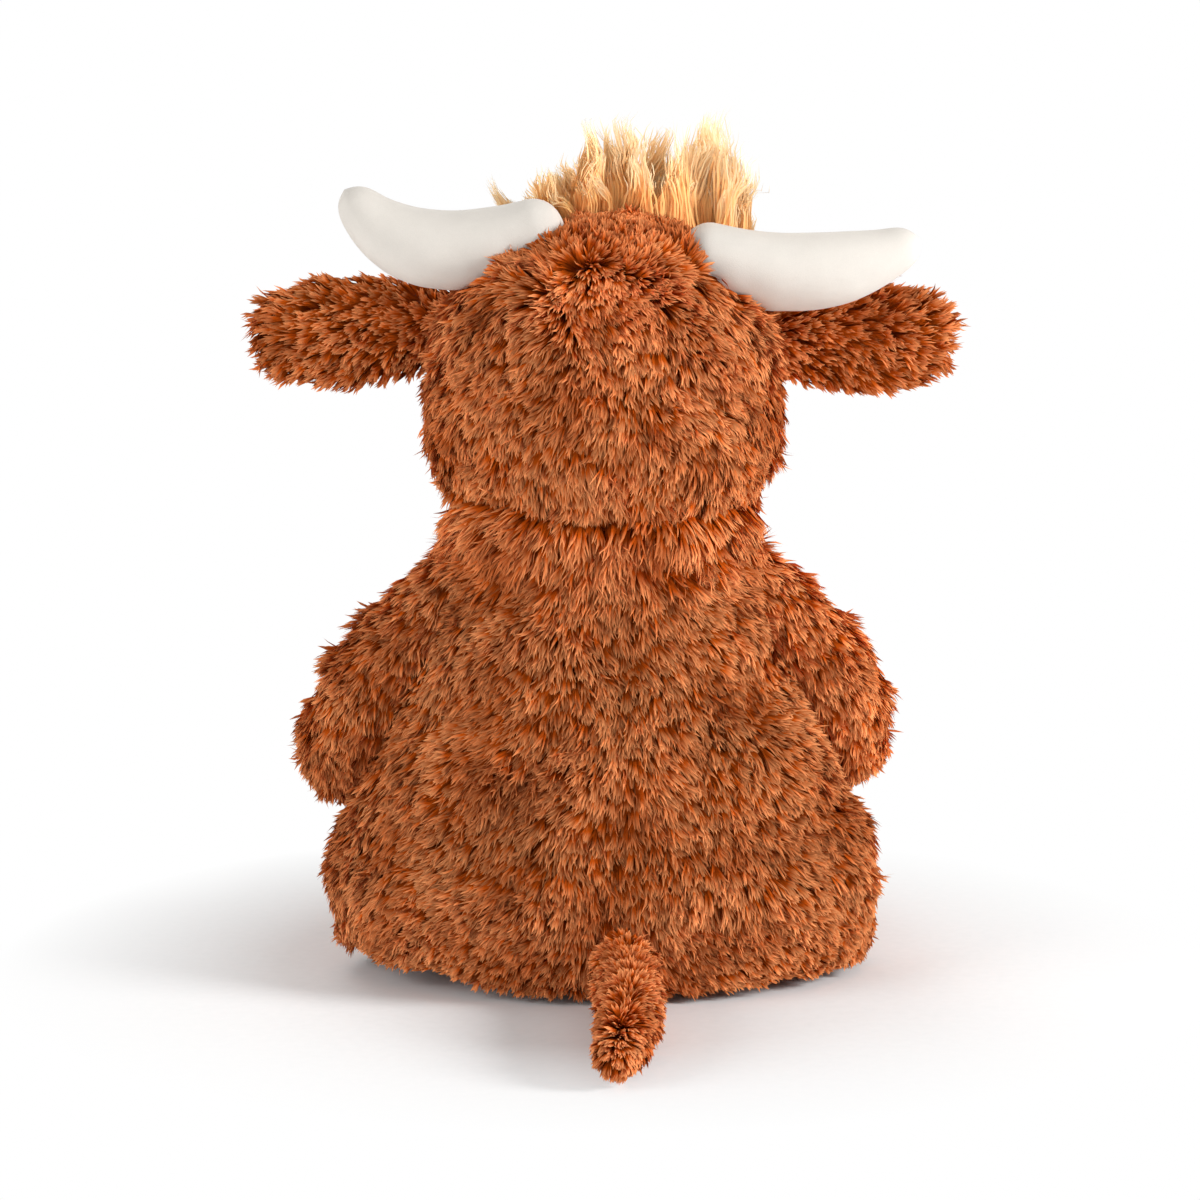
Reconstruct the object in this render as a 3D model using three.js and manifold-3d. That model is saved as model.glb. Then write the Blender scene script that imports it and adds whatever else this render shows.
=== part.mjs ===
// A seated plush cow with shaggy fur, a stuffed head, body, arms and legs, and soft white horns.
// Millimetres, +Z up. The cow faces -Y, its left side is +X, and the origin is on the floor under its seat.
// Each fur cover is drawn to the tips of its pile, and holds a separate piece of stuffing.

import * as THREE from 'three';
import { mergeVertices } from 'three/addons/utils/BufferGeometryUtils.js';
import Module from 'manifold-3d';

const wasm = await Module();
wasm.setup();

// Clearances and cuts
const seamGap = 0.3;
const swingGap = 0.6;
const groundFlat = 0.5;
const overrun = 20;
const weldDistance = 0.0001;

// Fabric
const furThickness = 12;
const velvetThickness = 2.5;

// Body
const bodyHeight = 192;
const bodyWidth = 210;
const bodyDepth = 146;
const bodySetback = 6;
const bodySeatBulge = 3.5;
const bodyCrownBulge = 8;
const swellDepth = 5;
const swellLength = 58;
const pouchHeight = 34;

// Head
const headRadius = 68;
const headCrownRadius = 74;
const headHeight = 212;
const headForward = 2;

// Muzzle
const muzzleWidth = 82;
const muzzleDepth = 62;
const muzzleHeight = 54;
const muzzleForward = 60;
const muzzleDrop = 11;
const nostrilWidth = 11;
const nostrilHeight = 7;
const nostrilDepth = 5;
const mouthRadius = 0.9;

// Eyes
const eyeRadius = 7;
const eyeDome = 6;
const eyeSink = 4;
const eyeRim = 1;
const shankRadius = 2.2;
const shankSpare = 1.2;
const washerRadius = 8;
const washerThickness = 1.5;

// Horns
const hornLength = 90;
const hornRadius = 14.2;
const hornTipRadius = 8.5;

// Ears
const earLength = 70;
const earHeight = 52;
const earThickness = 22;
const earRootDepth = 16;
const earForward = 16;
const earLiningInset = 2;
const earLiningThickness = 4;

// Topknot
const topknotWidth = 92;
const topknotThickness = 40;

// Arms
const armLength = 120;
const armRadius = 23.5;
const shoulderHeight = 149;
const shoulderSpread = 46;
const armHoofRadius = 18;
const armHoofLength = 34;

// Legs
const legLength = 100;
const legRadius = 29;
const hipSpread = 50;
const hipForward = 32;
const legHoofRadius = 23.5;
const legHoofLength = 38;

// Hooves
const cleftWidth = 2.4;
const cleftDepth = 6;

// Tail
const tailLength = 106;
const tailRadius = 14.8;
const tailSide = -8;
const tailSink = 16;
const tailRootRise = 7;

const sides = [
  { name: 'left', sign: 1 },
  { name: 'right', sign: -1 },
];

// Heights of the body's sections as shares of its height, with the shares of its width and depth there.
const bodySectionShares = [
  [0.0, 0.9, 0.88],
  [0.06, 0.97, 0.96],
  [0.18, 1.0, 1.0],
  [0.3, 0.97, 0.985],
  [0.43, 0.885, 0.93],
  [0.56, 0.767, 0.86],
  [0.69, 0.67, 0.795],
  [0.82, 0.58, 0.72],
  [0.92, 0.54, 0.68],
  [1.0, 0.46, 0.58],
];
const bodyWidestShare = 0.18;

// Waves that the stuffing's swells add up to: turns per swell across, back and up, and where each starts.
const swellWaveShares = [
  { turns: [1, 0, 0.6], start: 0 },
  { turns: [0, -0.7, 0.9], start: 1 },
  { turns: [0.5, 1, -0.4], start: 2 },
];

// Horn curves. The root is in shares of the head's radius, and bend and tip in shares of the horn's length.
const hornShares = {
  left: { root: [0.38, 0.14, 0.91], bend: [0.5, 0.0, -0.155], tip: [0.71, -0.04, 0.11] },
  right: { root: [0.56, 0.14, 0.78], bend: [0.43, 0.0, -0.12], tip: [0.78, -0.04, 0.045] },
};
const hornSectionShares = [
  [0.0, 0.95],
  [0.35, 1.03],
  [0.6, 1.0],
  [0.8, 0.86],
];

// Ear places on the head in shares of its radius, and how far the tip drops in shares of the ear's length.
const earShares = {
  left: { height: 0.39, drop: 0.04 },
  right: { height: 0.34, drop: 0.02 },
};
const earSectionShares = [
  [0.0, 0.72, 0.8],
  [0.3, 0.9, 0.95],
  [0.6, 1.0, 1.0],
  [0.85, 0.98, 1.0],
  [1.0, 0.86, 0.86],
];
const earTipShare = 0.2;

// The topknot rises behind the horns and falls over the forehead. Places are shares of the head's radius.
const topknotSpineShares = [
  [-0.1, 0.06, 1.04],
  [-0.14, -0.2, 1.08],
  [-0.15, -0.52, 0.95],
  [-0.15, -0.84, 0.68],
  [-0.15, -1.04, 0.34],
];
const topknotSectionShares = [
  [0.0, 0.62, 0.8],
  [0.25, 1.0, 1.0],
  [0.5, 0.98, 0.82],
  [0.75, 0.76, 0.5],
  [1.0, 0.5, 0.34],
];

// Arm from shoulder to wrist in shares of its length, and its sections in shares of its radius.
const armSpineShares = {
  left: [
    [0.0, 0.0, 0.0],
    [0.18, -0.02, -0.17],
    [0.32, -0.06, -0.38],
    [0.395, -0.14, -0.56],
    [0.38, -0.31, -0.62],
    [0.37, -0.44, -0.59],
  ],
  right: [
    [0.0, 0.0, 0.0],
    [0.18, -0.02, -0.17],
    [0.31, -0.07, -0.36],
    [0.335, -0.17, -0.51],
    [0.335, -0.33, -0.57],
    [0.335, -0.46, -0.55],
  ],
};
const armSectionShares = [
  [0.0, 0.8],
  [0.25, 0.88],
  [0.5, 1.0],
  [0.75, 0.98],
  [1.0, 0.9],
];

// Leg from hip to ankle: how far it turns outwards in shares of its length, and its sections.
const legTurnShare = 0.1;
const legSectionShares = [
  [0.0, 1.0],
  [0.4, 1.0],
  [0.75, 0.94],
  [1.0, 0.9],
];

// Tail from root to tip in shares of its length, and its sections in shares of its radius.
const tailSideShares = [0.0, 0.0, -0.01, 0.01, 0.03];
const tailSectionShares = [
  [0.0, 1.0],
  [0.3, 1.02],
  [0.6, 1.0],
  [0.85, 0.92],
  [1.0, 0.82],
];

// Face places on the head and muzzle, in degrees from straight ahead.
const eyeSideAngle = 29;
const eyeLiftAngle = 17;
const nostrilSideAngle = 24;
const nostrilLiftAngle = 14;
const mouthSideAngle = 34;
const mouthCornerLift = -16;
const mouthMiddleLift = -34;

// Facet counts
const fineAround = 32;
const fineAlong = 11;
const swellAround = 48;
const swellAlong = 16;
const coarseAround = 16;
const coarseAlong = 6;
const limbAround = 16;
const limbAlong = 7;
const liningAround = 10;
const liningAlong = 5;
const endRings = 2;
const smallAround = 12;
const smallRings = 6;

const lift = new THREE.Vector3(0, 0, 1);
const liftAndBack = new THREE.Vector3(0, 0.3, 1).normalize();
const ahead = new THREE.Vector3(0, -1, 0);
const headCentre = new THREE.Vector3(0, -headForward, headHeight);

// Materials
const plush = (color, roughness) => () => new THREE.MeshStandardMaterial({ color, roughness, metalness: 0 });
const rustFur = plush(0x9a5228, 0.95);
const blondFur = plush(0xe2b078, 0.95);
const whiteVelvet = plush(0xf0eae0, 0.85);
const tanVelvet = plush(0xd9b48c, 0.85);
const brownVelvet = plush(0x5a3a26, 0.85);
const stuffing = plush(0xf4f2ee, 1.0);
const pelletCloth = plush(0xe6e3dc, 0.9);
const darkThread = plush(0x2e1c12, 0.7);
const eyePlastic = plush(0x120c09, 0.12);
const washerPlastic = plush(0xdedede, 0.5);

// A closed form swept along a spine. Each station gives a share of the spine and the section's two
// half sizes, across the upright direction and along it, and both ends are rounded off.
function sweptForm({ spine, stations, upright, around, along, startDepth, endDepth }) {
  const sizeAt = new THREE.CubicInterpolant(
    stations.map((station) => station[0]),
    stations.flatMap((station) => [station[1], station[2]]),
    2
  );
  const places = [];
  const ringStarts = [];
  const addRing = (share, shift, scale) => {
    const [wide, high] = sizeAt.evaluate(share);
    const tangent = spine.getTangentAt(share);
    const side = new THREE.Vector3().crossVectors(tangent, upright).normalize();
    const top = new THREE.Vector3().crossVectors(side, tangent);
    const middle = spine.getPointAt(share).addScaledVector(tangent, shift);
    ringStarts.push(places.length / 3);
    for (let step = 0; step < around; step += 1) {
      const angle = (step / around) * 2 * Math.PI;
      const place = middle.clone();
      place.addScaledVector(side, Math.cos(angle) * wide * scale);
      place.addScaledVector(top, Math.sin(angle) * high * scale);
      places.push(...place.toArray());
    }
  };
  const endAngle = (step) => ((step / (endRings + 1)) * Math.PI) / 2;
  for (let step = endRings; step > 0; step -= 1) {
    addRing(0, -startDepth * Math.sin(endAngle(step)), Math.cos(endAngle(step)));
  }
  for (let step = 0; step <= along; step += 1) {
    addRing(step / along, 0, 1);
  }
  for (let step = 1; step <= endRings; step += 1) {
    addRing(1, endDepth * Math.sin(endAngle(step)), Math.cos(endAngle(step)));
  }
  const startPole = places.length / 3;
  places.push(...spine.getPointAt(0).addScaledVector(spine.getTangentAt(0), -startDepth).toArray());
  places.push(...spine.getPointAt(1).addScaledVector(spine.getTangentAt(1), endDepth).toArray());
  const endPole = startPole + 1;
  const corners = [];
  for (let step = 0; step < around; step += 1) {
    const next = (step + 1) % around;
    for (let ring = 0; ring < ringStarts.length - 1; ring += 1) {
      const here = ringStarts[ring];
      const there = ringStarts[ring + 1];
      corners.push(here + step, there + step, here + next);
      corners.push(here + next, there + step, there + next);
    }
    corners.push(startPole, ringStarts[0] + step, ringStarts[0] + next);
    const last = ringStarts[ringStarts.length - 1];
    corners.push(endPole, last + next, last + step);
  }
  const geometry = new THREE.BufferGeometry();
  geometry.setAttribute('position', new THREE.Float32BufferAttribute(places, 3));
  geometry.setIndex(corners);
  return geometry;
}

// Position only, with each shared vertex held once.
function welded(geometry) {
  const bare = geometry.clone();
  bare.deleteAttribute('normal');
  bare.deleteAttribute('uv');
  return mergeVertices(bare, weldDistance);
}

// The same form with its surface moved out along its normals, or in where the distance is negative.
function shifted(geometry, distance) {
  const copy = welded(geometry);
  copy.computeVertexNormals();
  const { position, normal } = copy.attributes;
  for (let index = 0; index < position.count; index += 1) {
    const place = new THREE.Vector3().fromBufferAttribute(position, index);
    place.addScaledVector(new THREE.Vector3().fromBufferAttribute(normal, index), distance);
    position.setXYZ(index, place.x, place.y, place.z);
  }
  return copy;
}

function moved(geometry, offset) {
  return geometry.clone().translate(offset.x, offset.y, offset.z);
}

function toSolid(geometry) {
  const { attributes, index } = welded(geometry);
  const mesh = new wasm.Mesh({
    numProp: 3,
    vertProperties: new Float32Array(attributes.position.array),
    triVerts: new Uint32Array(index.array),
  });
  return new wasm.Manifold(mesh);
}

function toGeometry(solid) {
  const mesh = solid.getMesh();
  const geometry = new THREE.BufferGeometry();
  geometry.setAttribute('position', new THREE.BufferAttribute(new Float32Array(mesh.vertProperties), 3));
  geometry.setIndex(new THREE.BufferAttribute(new Uint32Array(mesh.triVerts), 1));
  return geometry;
}

function cut(geometry, cutters) {
  const solid = cutters.reduce((left, cutter) => left.subtract(toSolid(cutter)), toSolid(geometry));
  return toGeometry(solid);
}

function piece(name, geometry, makeMaterial) {
  const mesh = new THREE.Mesh(geometry, makeMaterial());
  mesh.name = name;
  return mesh;
}

function groupAt(place, pieces) {
  const group = new THREE.Group();
  group.position.copy(place);
  group.add(...pieces);
  return group;
}

// A turned shape made about the Y axis and set on a point, with its axis along a direction.
function turned(profile, place, direction) {
  const points = profile.map(([radius, height]) => new THREE.Vector2(radius, height));
  const geometry = new THREE.LatheGeometry(points, smallAround);
  const turn = new THREE.Quaternion().setFromUnitVectors(new THREE.Vector3(0, 1, 0), direction);
  return moved(geometry.applyQuaternion(turn), place);
}

function ellipsoid(width, depth, height, centre, around, rings) {
  const geometry = new THREE.SphereGeometry(1, around, rings).rotateX(Math.PI / 2);
  return moved(geometry.scale(width / 2, depth / 2, height / 2), centre);
}

function directionOf(sideAngle, liftAngle) {
  const side = THREE.MathUtils.degToRad(sideAngle);
  const rise = THREE.MathUtils.degToRad(liftAngle);
  return new THREE.Vector3(Math.sin(side) * Math.cos(rise), -Math.cos(side) * Math.cos(rise), Math.sin(rise));
}

// The floor as a slab, seen from a group that stands at the given place.
function floorSlab(place) {
  const span = (bodyWidth + bodyDepth + legLength + tailLength) * 2;
  const slab = new THREE.BoxGeometry(span, span, overrun);
  return moved(slab, new THREE.Vector3(-place.x, -place.y, -place.z - overrun / 2));
}

// Body: a pear shape with a flat seat. The skirted form keeps its widest section down to the floor,
// and the legs and tail are cut by it, so that they swing up without catching under the seat. An inset
// form lies inside the cover.
function bodyForm({ around, along, skirted = false, inset = 0 }) {
  const bottom = bodySeatBulge - groundFlat + inset;
  const spine = new THREE.LineCurve3(
    new THREE.Vector3(0, bodySetback, bottom),
    new THREE.Vector3(0, bodySetback, bodyHeight - inset)
  );
  const stations = bodySectionShares.map(([share, widthShare, depthShare]) => {
    const kept = skirted && share < bodyWidestShare;
    const halfWidth = ((kept ? 1 : widthShare) * bodyWidth) / 2 - inset;
    const halfDepth = ((kept ? 1 : depthShare) * bodyDepth) / 2 - inset;
    return [share, halfWidth, halfDepth];
  });
  return sweptForm({
    spine,
    stations,
    upright: ahead,
    around,
    along,
    startDepth: skirted ? overrun : bodySeatBulge,
    endDepth: bodyCrownBulge,
  });
}

// Head: a ball below its middle, so that it nods in the body's neck, and a taller crown above.
function headForm(around, rings) {
  const geometry = welded(new THREE.SphereGeometry(headRadius, around, rings).rotateX(Math.PI / 2));
  const { position } = geometry.attributes;
  for (let index = 0; index < position.count; index += 1) {
    const height = position.getZ(index);
    position.setZ(index, height > 0 ? (height * headCrownRadius) / headRadius : height);
  }
  return geometry;
}

function headSurface(direction) {
  const level = Math.hypot(direction.x, direction.y) / headRadius;
  const upper = direction.z / (direction.z > 0 ? headCrownRadius : headRadius);
  return direction.clone().divideScalar(Math.hypot(level, upper));
}

// How far the body's cover sinks at a place: nothing on a swell, and its full depth between swells. The
// seat and the neck are drawn tight.
function swellSink(place) {
  const wave = swellWaveShares.reduce((sum, { turns, start }) => {
    const along = new THREE.Vector3(...turns).dot(place) / swellLength;
    return sum + Math.sin(2 * Math.PI * along + start);
  }, 0);
  const seat = THREE.MathUtils.smoothstep(place.z, swellLength / 2, swellLength);
  const neck = 1 - THREE.MathUtils.smoothstep(place.z, bodyHeight - swellLength, bodyHeight - swellLength / 4);
  return swellDepth * THREE.MathUtils.clamp(1 / 2 + wave / 4, 0, 1) * seat * neck;
}

function swelled(geometry) {
  const copy = welded(geometry);
  copy.computeVertexNormals();
  const { position, normal } = copy.attributes;
  for (let index = 0; index < position.count; index += 1) {
    const place = new THREE.Vector3().fromBufferAttribute(position, index);
    place.addScaledVector(new THREE.Vector3().fromBufferAttribute(normal, index), -swellSink(place));
    position.setXYZ(index, place.x, place.y, place.z);
  }
  return copy;
}

const swelledBody = swelled(bodyForm({ around: swellAround, along: swellAlong }));
const fineBody = bodyForm({ around: fineAround, along: fineAlong });
const skirtedBody = bodyForm({ around: fineAround, along: fineAlong, skirted: true });
const fineHead = headForm(fineAround, fineAround / 2);
const coarseHead = headForm(coarseAround, coarseAround / 2);

function bodyPieces() {
  const floor = floorSlab(new THREE.Vector3());
  const headRoom = moved(shifted(fineHead, swingGap), headCentre);
  const cavity = bodyForm({ around: coarseAround, along: coarseAlong, inset: furThickness });
  const filling = bodyForm({ around: coarseAround, along: coarseAlong, inset: furThickness + seamGap });
  const span = bodyWidth + bodyDepth;
  const block = new THREE.BoxGeometry(span, span, bodyHeight);
  const abovePouch = moved(block, new THREE.Vector3(0, 0, pouchHeight + bodyHeight / 2));
  const belowFilling = moved(block, new THREE.Vector3(0, 0, pouchHeight + seamGap - bodyHeight / 2));
  return [
    piece('body_cover', cut(swelledBody, [cavity, headRoom, floor]), rustFur),
    piece('body_filling', cut(filling, [belowFilling, headRoom]), stuffing),
    piece('pellet_pouch', cut(filling, [abovePouch]), pelletCloth),
  ];
}

function muzzleForm(distance, around, rings) {
  const centre = new THREE.Vector3(0, -muzzleForward, -muzzleDrop);
  return ellipsoid(
    muzzleWidth + 2 * distance,
    muzzleDepth + 2 * distance,
    muzzleHeight + 2 * distance,
    centre,
    around,
    rings
  );
}

// A point of the muzzle's surface in a direction from the muzzle's centre, and a distance out from it.
function muzzleSurface(direction, distance) {
  const reach = Math.hypot(
    direction.x / (muzzleWidth / 2 + distance),
    direction.y / (muzzleDepth / 2 + distance),
    direction.z / (muzzleHeight / 2 + distance)
  );
  return direction.clone().divideScalar(reach).add(new THREE.Vector3(0, -muzzleForward, -muzzleDrop));
}

function nostril(sign) {
  const centre = muzzleSurface(directionOf(sign * nostrilSideAngle, nostrilLiftAngle), 0);
  return cut(ellipsoid(nostrilWidth, nostrilDepth, nostrilHeight, centre, smallAround, smallRings), [
    shifted(muzzleForm(0, coarseAround, coarseAround / 2), seamGap),
  ]);
}

// The mouth is one embroidered line that dips under the nose.
function mouthLine() {
  const places = [-1, -0.5, 0, 0.5, 1].map((share) => {
    const dip = mouthMiddleLift + (mouthCornerLift - mouthMiddleLift) * share * share;
    return muzzleSurface(directionOf(mouthSideAngle * share, dip), mouthRadius + seamGap);
  });
  const section = new THREE.Shape().absarc(0, 0, mouthRadius, 0, 2 * Math.PI);
  return new THREE.ExtrudeGeometry(section, {
    steps: smallAround,
    curveSegments: smallRings / 2,
    extrudePath: new THREE.CatmullRomCurve3(places),
  });
}

// Safety eye: a dome on a shank that passes through the cover and holds a washer behind it.
function eyeDirection(sign) {
  return directionOf(sign * eyeSideAngle, eyeLiftAngle);
}

function eyeSeat(sign) {
  const direction = eyeDirection(sign);
  return headSurface(direction).addScaledVector(direction, -eyeSink);
}

const washerDepth = furThickness - eyeSink;
const shankDepth = washerDepth + washerThickness + shankSpare;

function eye(sign) {
  const dome = [];
  for (let step = 0; step <= smallRings / 2; step += 1) {
    const angle = ((step / (smallRings / 2)) * Math.PI) / 2;
    dome.push([eyeRadius * Math.cos(angle), eyeRim + (eyeDome - eyeRim) * Math.sin(angle)]);
  }
  dome[dome.length - 1][0] = 0;
  const profile = [[0, -shankDepth], [shankRadius, -shankDepth], [shankRadius, 0], [eyeRadius, 0], ...dome];
  return turned(profile, eyeSeat(sign), eyeDirection(sign));
}

function washer(sign) {
  const inner = shankRadius + seamGap;
  const profile = [
    [inner, -washerDepth - washerThickness],
    [washerRadius, -washerDepth - washerThickness],
    [washerRadius, -washerDepth],
    [inner, -washerDepth],
    [inner, -washerDepth - washerThickness],
  ];
  return turned(profile, eyeSeat(sign), eyeDirection(sign));
}

// The room that an eye, its shank and its washer take in the cover and the stuffing.
function eyeRoom(sign) {
  const profile = [
    [0, -shankDepth - seamGap],
    [washerRadius + seamGap, -shankDepth - seamGap],
    [washerRadius + seamGap, -washerDepth + seamGap],
    [shankRadius + seamGap, -washerDepth + seamGap],
    [shankRadius + seamGap, -seamGap],
    [eyeRadius + seamGap, -seamGap],
    [eyeRadius + seamGap, overrun],
    [0, overrun],
  ];
  return turned(profile, eyeSeat(sign), eyeDirection(sign));
}

function hornForm(side, around, along) {
  const { root, bend, tip } = hornShares[side.name];
  const rootPlace = new THREE.Vector3(...root).multiplyScalar(headRadius);
  const bendPlace = rootPlace.clone().addScaledVector(new THREE.Vector3(...bend), hornLength);
  const tipPlace = rootPlace.clone().addScaledVector(new THREE.Vector3(...tip), hornLength);
  const facing = new THREE.Vector3(side.sign, 1, 1);
  const spine = new THREE.QuadraticBezierCurve3(
    rootPlace.multiply(facing),
    bendPlace.multiply(facing),
    tipPlace.multiply(facing)
  );
  const stations = hornSectionShares.map(([share, size]) => [share, size * hornRadius, size * hornRadius]);
  stations.push([1, hornTipRadius, hornTipRadius]);
  return sweptForm({
    spine,
    stations,
    upright: new THREE.Vector3(0, 1, 0),
    around,
    along,
    startDepth: hornRadius / 2,
    endDepth: hornTipRadius,
  });
}

function hornPieces(side) {
  const head = shifted(fineHead, seamGap);
  const outer = hornForm(side, smallAround, limbAlong);
  const inner = hornForm(side, liningAround, limbAlong);
  return [
    piece(`horn_cover_${side.name}`, cut(outer, [shifted(inner, -velvetThickness), head]), whiteVelvet),
    piece(`horn_filling_${side.name}`, cut(shifted(inner, -velvetThickness - seamGap), [head]), stuffing),
  ];
}

function topknot() {
  const spine = new THREE.CatmullRomCurve3(
    topknotSpineShares.map((place) => new THREE.Vector3(...place).multiplyScalar(headRadius))
  );
  const stations = topknotSectionShares.map(([share, widthShare, thicknessShare]) => [
    share,
    (widthShare * topknotWidth) / 2,
    (thicknessShare * topknotThickness) / 2,
  ]);
  const form = sweptForm({
    spine,
    stations,
    upright: liftAndBack,
    around: coarseAround,
    along: limbAlong,
    startDepth: topknotThickness / 4,
    endDepth: topknotThickness / 4,
  });
  const horns = sides.map((side) => shifted(hornForm(side, smallAround, limbAlong), seamGap));
  return piece('topknot', cut(form, [shifted(fineHead, seamGap), ...horns]), blondFur);
}

function headPieces() {
  const cavity = shifted(coarseHead, -furThickness);
  const eyeRooms = sides.map(({ sign }) => eyeRoom(sign));
  const head = shifted(fineHead, seamGap);
  const muzzle = muzzleForm(0, coarseAround, coarseAround / 2);
  const pieces = [
    piece('head_cover', cut(fineHead, [cavity, ...eyeRooms]), rustFur),
    piece('head_filling', cut(shifted(coarseHead, -furThickness - seamGap), eyeRooms), stuffing),
    piece('muzzle_cover', cut(muzzle, [shifted(muzzle, -velvetThickness), head]), tanVelvet),
    piece('muzzle_filling', cut(shifted(muzzle, -velvetThickness - seamGap), [head]), stuffing),
    piece('mouth_stitch', mouthLine(), darkThread),
    topknot(),
  ];
  for (const side of sides) {
    pieces.push(piece(`eye_${side.name}`, eye(side.sign), eyePlastic));
    pieces.push(piece(`eye_washer_${side.name}`, washer(side.sign), washerPlastic));
    pieces.push(piece(`nostril_${side.name}`, nostril(side.sign), darkThread));
    pieces.push(...hornPieces(side));
    pieces.push(ear(side));
  }
  return pieces;
}

// Ear: a flat lobe with fur behind and a smooth lining in front.
function ear(side) {
  const shares = earShares[side.name];
  const height = shares.height * headRadius;
  const root = new THREE.Vector3(side.sign * (headRadius - earRootDepth), -earForward, height);
  const reach = new THREE.Vector3(side.sign * earLength, 0, -shares.drop * earLength);
  const form = sweptForm({
    spine: new THREE.LineCurve3(new THREE.Vector3(), reach),
    stations: earSectionShares.map(([share, heightShare, thicknessShare]) => [
      share,
      (thicknessShare * earThickness) / 2,
      (heightShare * earHeight) / 2,
    ]),
    upright: lift,
    around: smallAround,
    along: liningAlong,
    startDepth: earTipShare * earHeight,
    endDepth: earTipShare * earHeight,
  });
  const seam = earLiningThickness + earLiningInset - earThickness / 2;
  const span = (earLength + earHeight) * 2;
  const block = new THREE.BoxGeometry(span, span, span);
  const front = moved(block, new THREE.Vector3(0, seam - span / 2, 0));
  const rear = moved(block, new THREE.Vector3(0, seam - seamGap + span / 2, 0));
  const neighbours = [fineHead, hornForm(side, smallAround, limbAlong)].map((neighbour) =>
    moved(shifted(neighbour, swingGap), root.clone().negate())
  );
  return groupAt(root, [
    piece(`ear_back_${side.name}`, cut(form, [front, ...neighbours]), rustFur),
    piece(`ear_lining_${side.name}`, cut(shifted(form, -earLiningInset), [rear, ...neighbours]), tanVelvet),
  ]);
}

// Hoof: a rounded end that plugs into the limb, with a cleft down its middle.
function hoof(place, direction, radius, length, upright) {
  const along = direction.clone().normalize();
  const form = sweptForm({
    spine: new THREE.LineCurve3(place, place.clone().addScaledVector(along, length - radius / 2)),
    stations: [
      [0, radius, radius],
      [1, radius, radius],
    ],
    upright,
    around: smallAround,
    along: 2,
    startDepth: radius / 4,
    endDepth: radius / 2,
  });
  const cleft = new THREE.BoxGeometry(cleftWidth, cleftDepth * 2, radius * 2 + overrun);
  const turn = new THREE.Quaternion().setFromUnitVectors(ahead, along);
  const end = place.clone().addScaledVector(along, length);
  return { form, cleft: moved(cleft.applyQuaternion(turn), end) };
}

function armForm(side, around, along) {
  const places = armSpineShares[side.name].map(
    ([across, back, up]) => new THREE.Vector3(side.sign * across, back, up).multiplyScalar(armLength)
  );
  const spine = new THREE.CatmullRomCurve3(places);
  const form = sweptForm({
    spine,
    stations: armSectionShares.map(([share, size]) => [share, size * armRadius, size * armRadius]),
    upright: new THREE.Vector3(side.sign, 0, 1).normalize(),
    around,
    along,
    startDepth: armRadius / 2,
    endDepth: armRadius / 2,
  });
  return { spine, form };
}

function limbPieces(kind, side, fine, coarse, hoofPiece, neighbours) {
  const hoofRoom = shifted(hoofPiece.form, seamGap);
  const cavity = shifted(coarse, -furThickness);
  const filling = shifted(coarse, -furThickness - seamGap);
  return [
    piece(`${kind}_cover_${side.name}`, cut(fine, [cavity, hoofRoom, ...neighbours]), rustFur),
    piece(`${kind}_filling_${side.name}`, cut(filling, [hoofRoom, ...neighbours]), stuffing),
    piece(`${kind}_hoof_${side.name}`, cut(hoofPiece.form, [hoofPiece.cleft, ...neighbours]), brownVelvet),
  ];
}

function arm(side) {
  const shoulder = new THREE.Vector3(side.sign * shoulderSpread, bodySetback, shoulderHeight);
  const { spine, form } = armForm(side, limbAround, limbAlong);
  const coarse = armForm(side, liningAround, liningAlong).form;
  const wrist = spine.getPointAt(1);
  const direction = spine.getTangentAt(1);
  const hoofStart = wrist.addScaledVector(direction, -furThickness / 2);
  const hoofPiece = hoof(hoofStart, direction, armHoofRadius, armHoofLength, lift);
  const body = moved(shifted(fineBody, swingGap), shoulder.clone().negate());
  return groupAt(shoulder, limbPieces('arm', side, form, coarse, hoofPiece, [body]));
}

function legForm(side, around, along) {
  const reach = new THREE.Vector3(side.sign * legTurnShare * legLength, -legLength, 0);
  const drop = legRadius * (1 - legSectionShares[legSectionShares.length - 1][1]);
  const spine = new THREE.QuadraticBezierCurve3(
    new THREE.Vector3(),
    reach.clone().divideScalar(2),
    reach.clone().sub(new THREE.Vector3(0, 0, drop))
  );
  const form = sweptForm({
    spine,
    stations: legSectionShares.map(([share, size]) => [share, size * legRadius, size * legRadius]),
    upright: lift,
    around,
    along,
    startDepth: legRadius / 2,
    endDepth: legRadius / 2,
  });
  return { spine, form };
}

function leg(side) {
  const hip = new THREE.Vector3(side.sign * hipSpread, -hipForward, legRadius - groundFlat);
  const { spine, form } = legForm(side, limbAround, limbAlong);
  const coarse = legForm(side, liningAround, liningAlong).form;
  const ankle = spine.getPointAt(1);
  const direction = spine.getTangentAt(1).setZ(0).normalize();
  const hoofStart = ankle.addScaledVector(direction, -furThickness / 2);
  const hoofPiece = hoof(hoofStart, direction, legHoofRadius, legHoofLength, lift);
  const body = moved(shifted(skirtedBody, swingGap), hip.clone().negate());
  return groupAt(hip, limbPieces('leg', side, form, coarse, hoofPiece, [body, floorSlab(hip)]));
}

function tailForm(around, along) {
  const stations = tailSectionShares.map(([share, size]) => [share, size * tailRadius, size * tailRadius]);
  const spine = new THREE.CatmullRomCurve3(
    stations.map(([share, size], step) => {
      const rise = size - tailRadius + (step === 0 ? tailRootRise : 0);
      return new THREE.Vector3(tailSideShares[step] * tailLength, share * tailLength, rise);
    })
  );
  return sweptForm({
    spine,
    stations,
    upright: lift,
    around,
    along,
    startDepth: tailRadius / 2,
    endDepth: tailRadius,
  });
}

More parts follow.
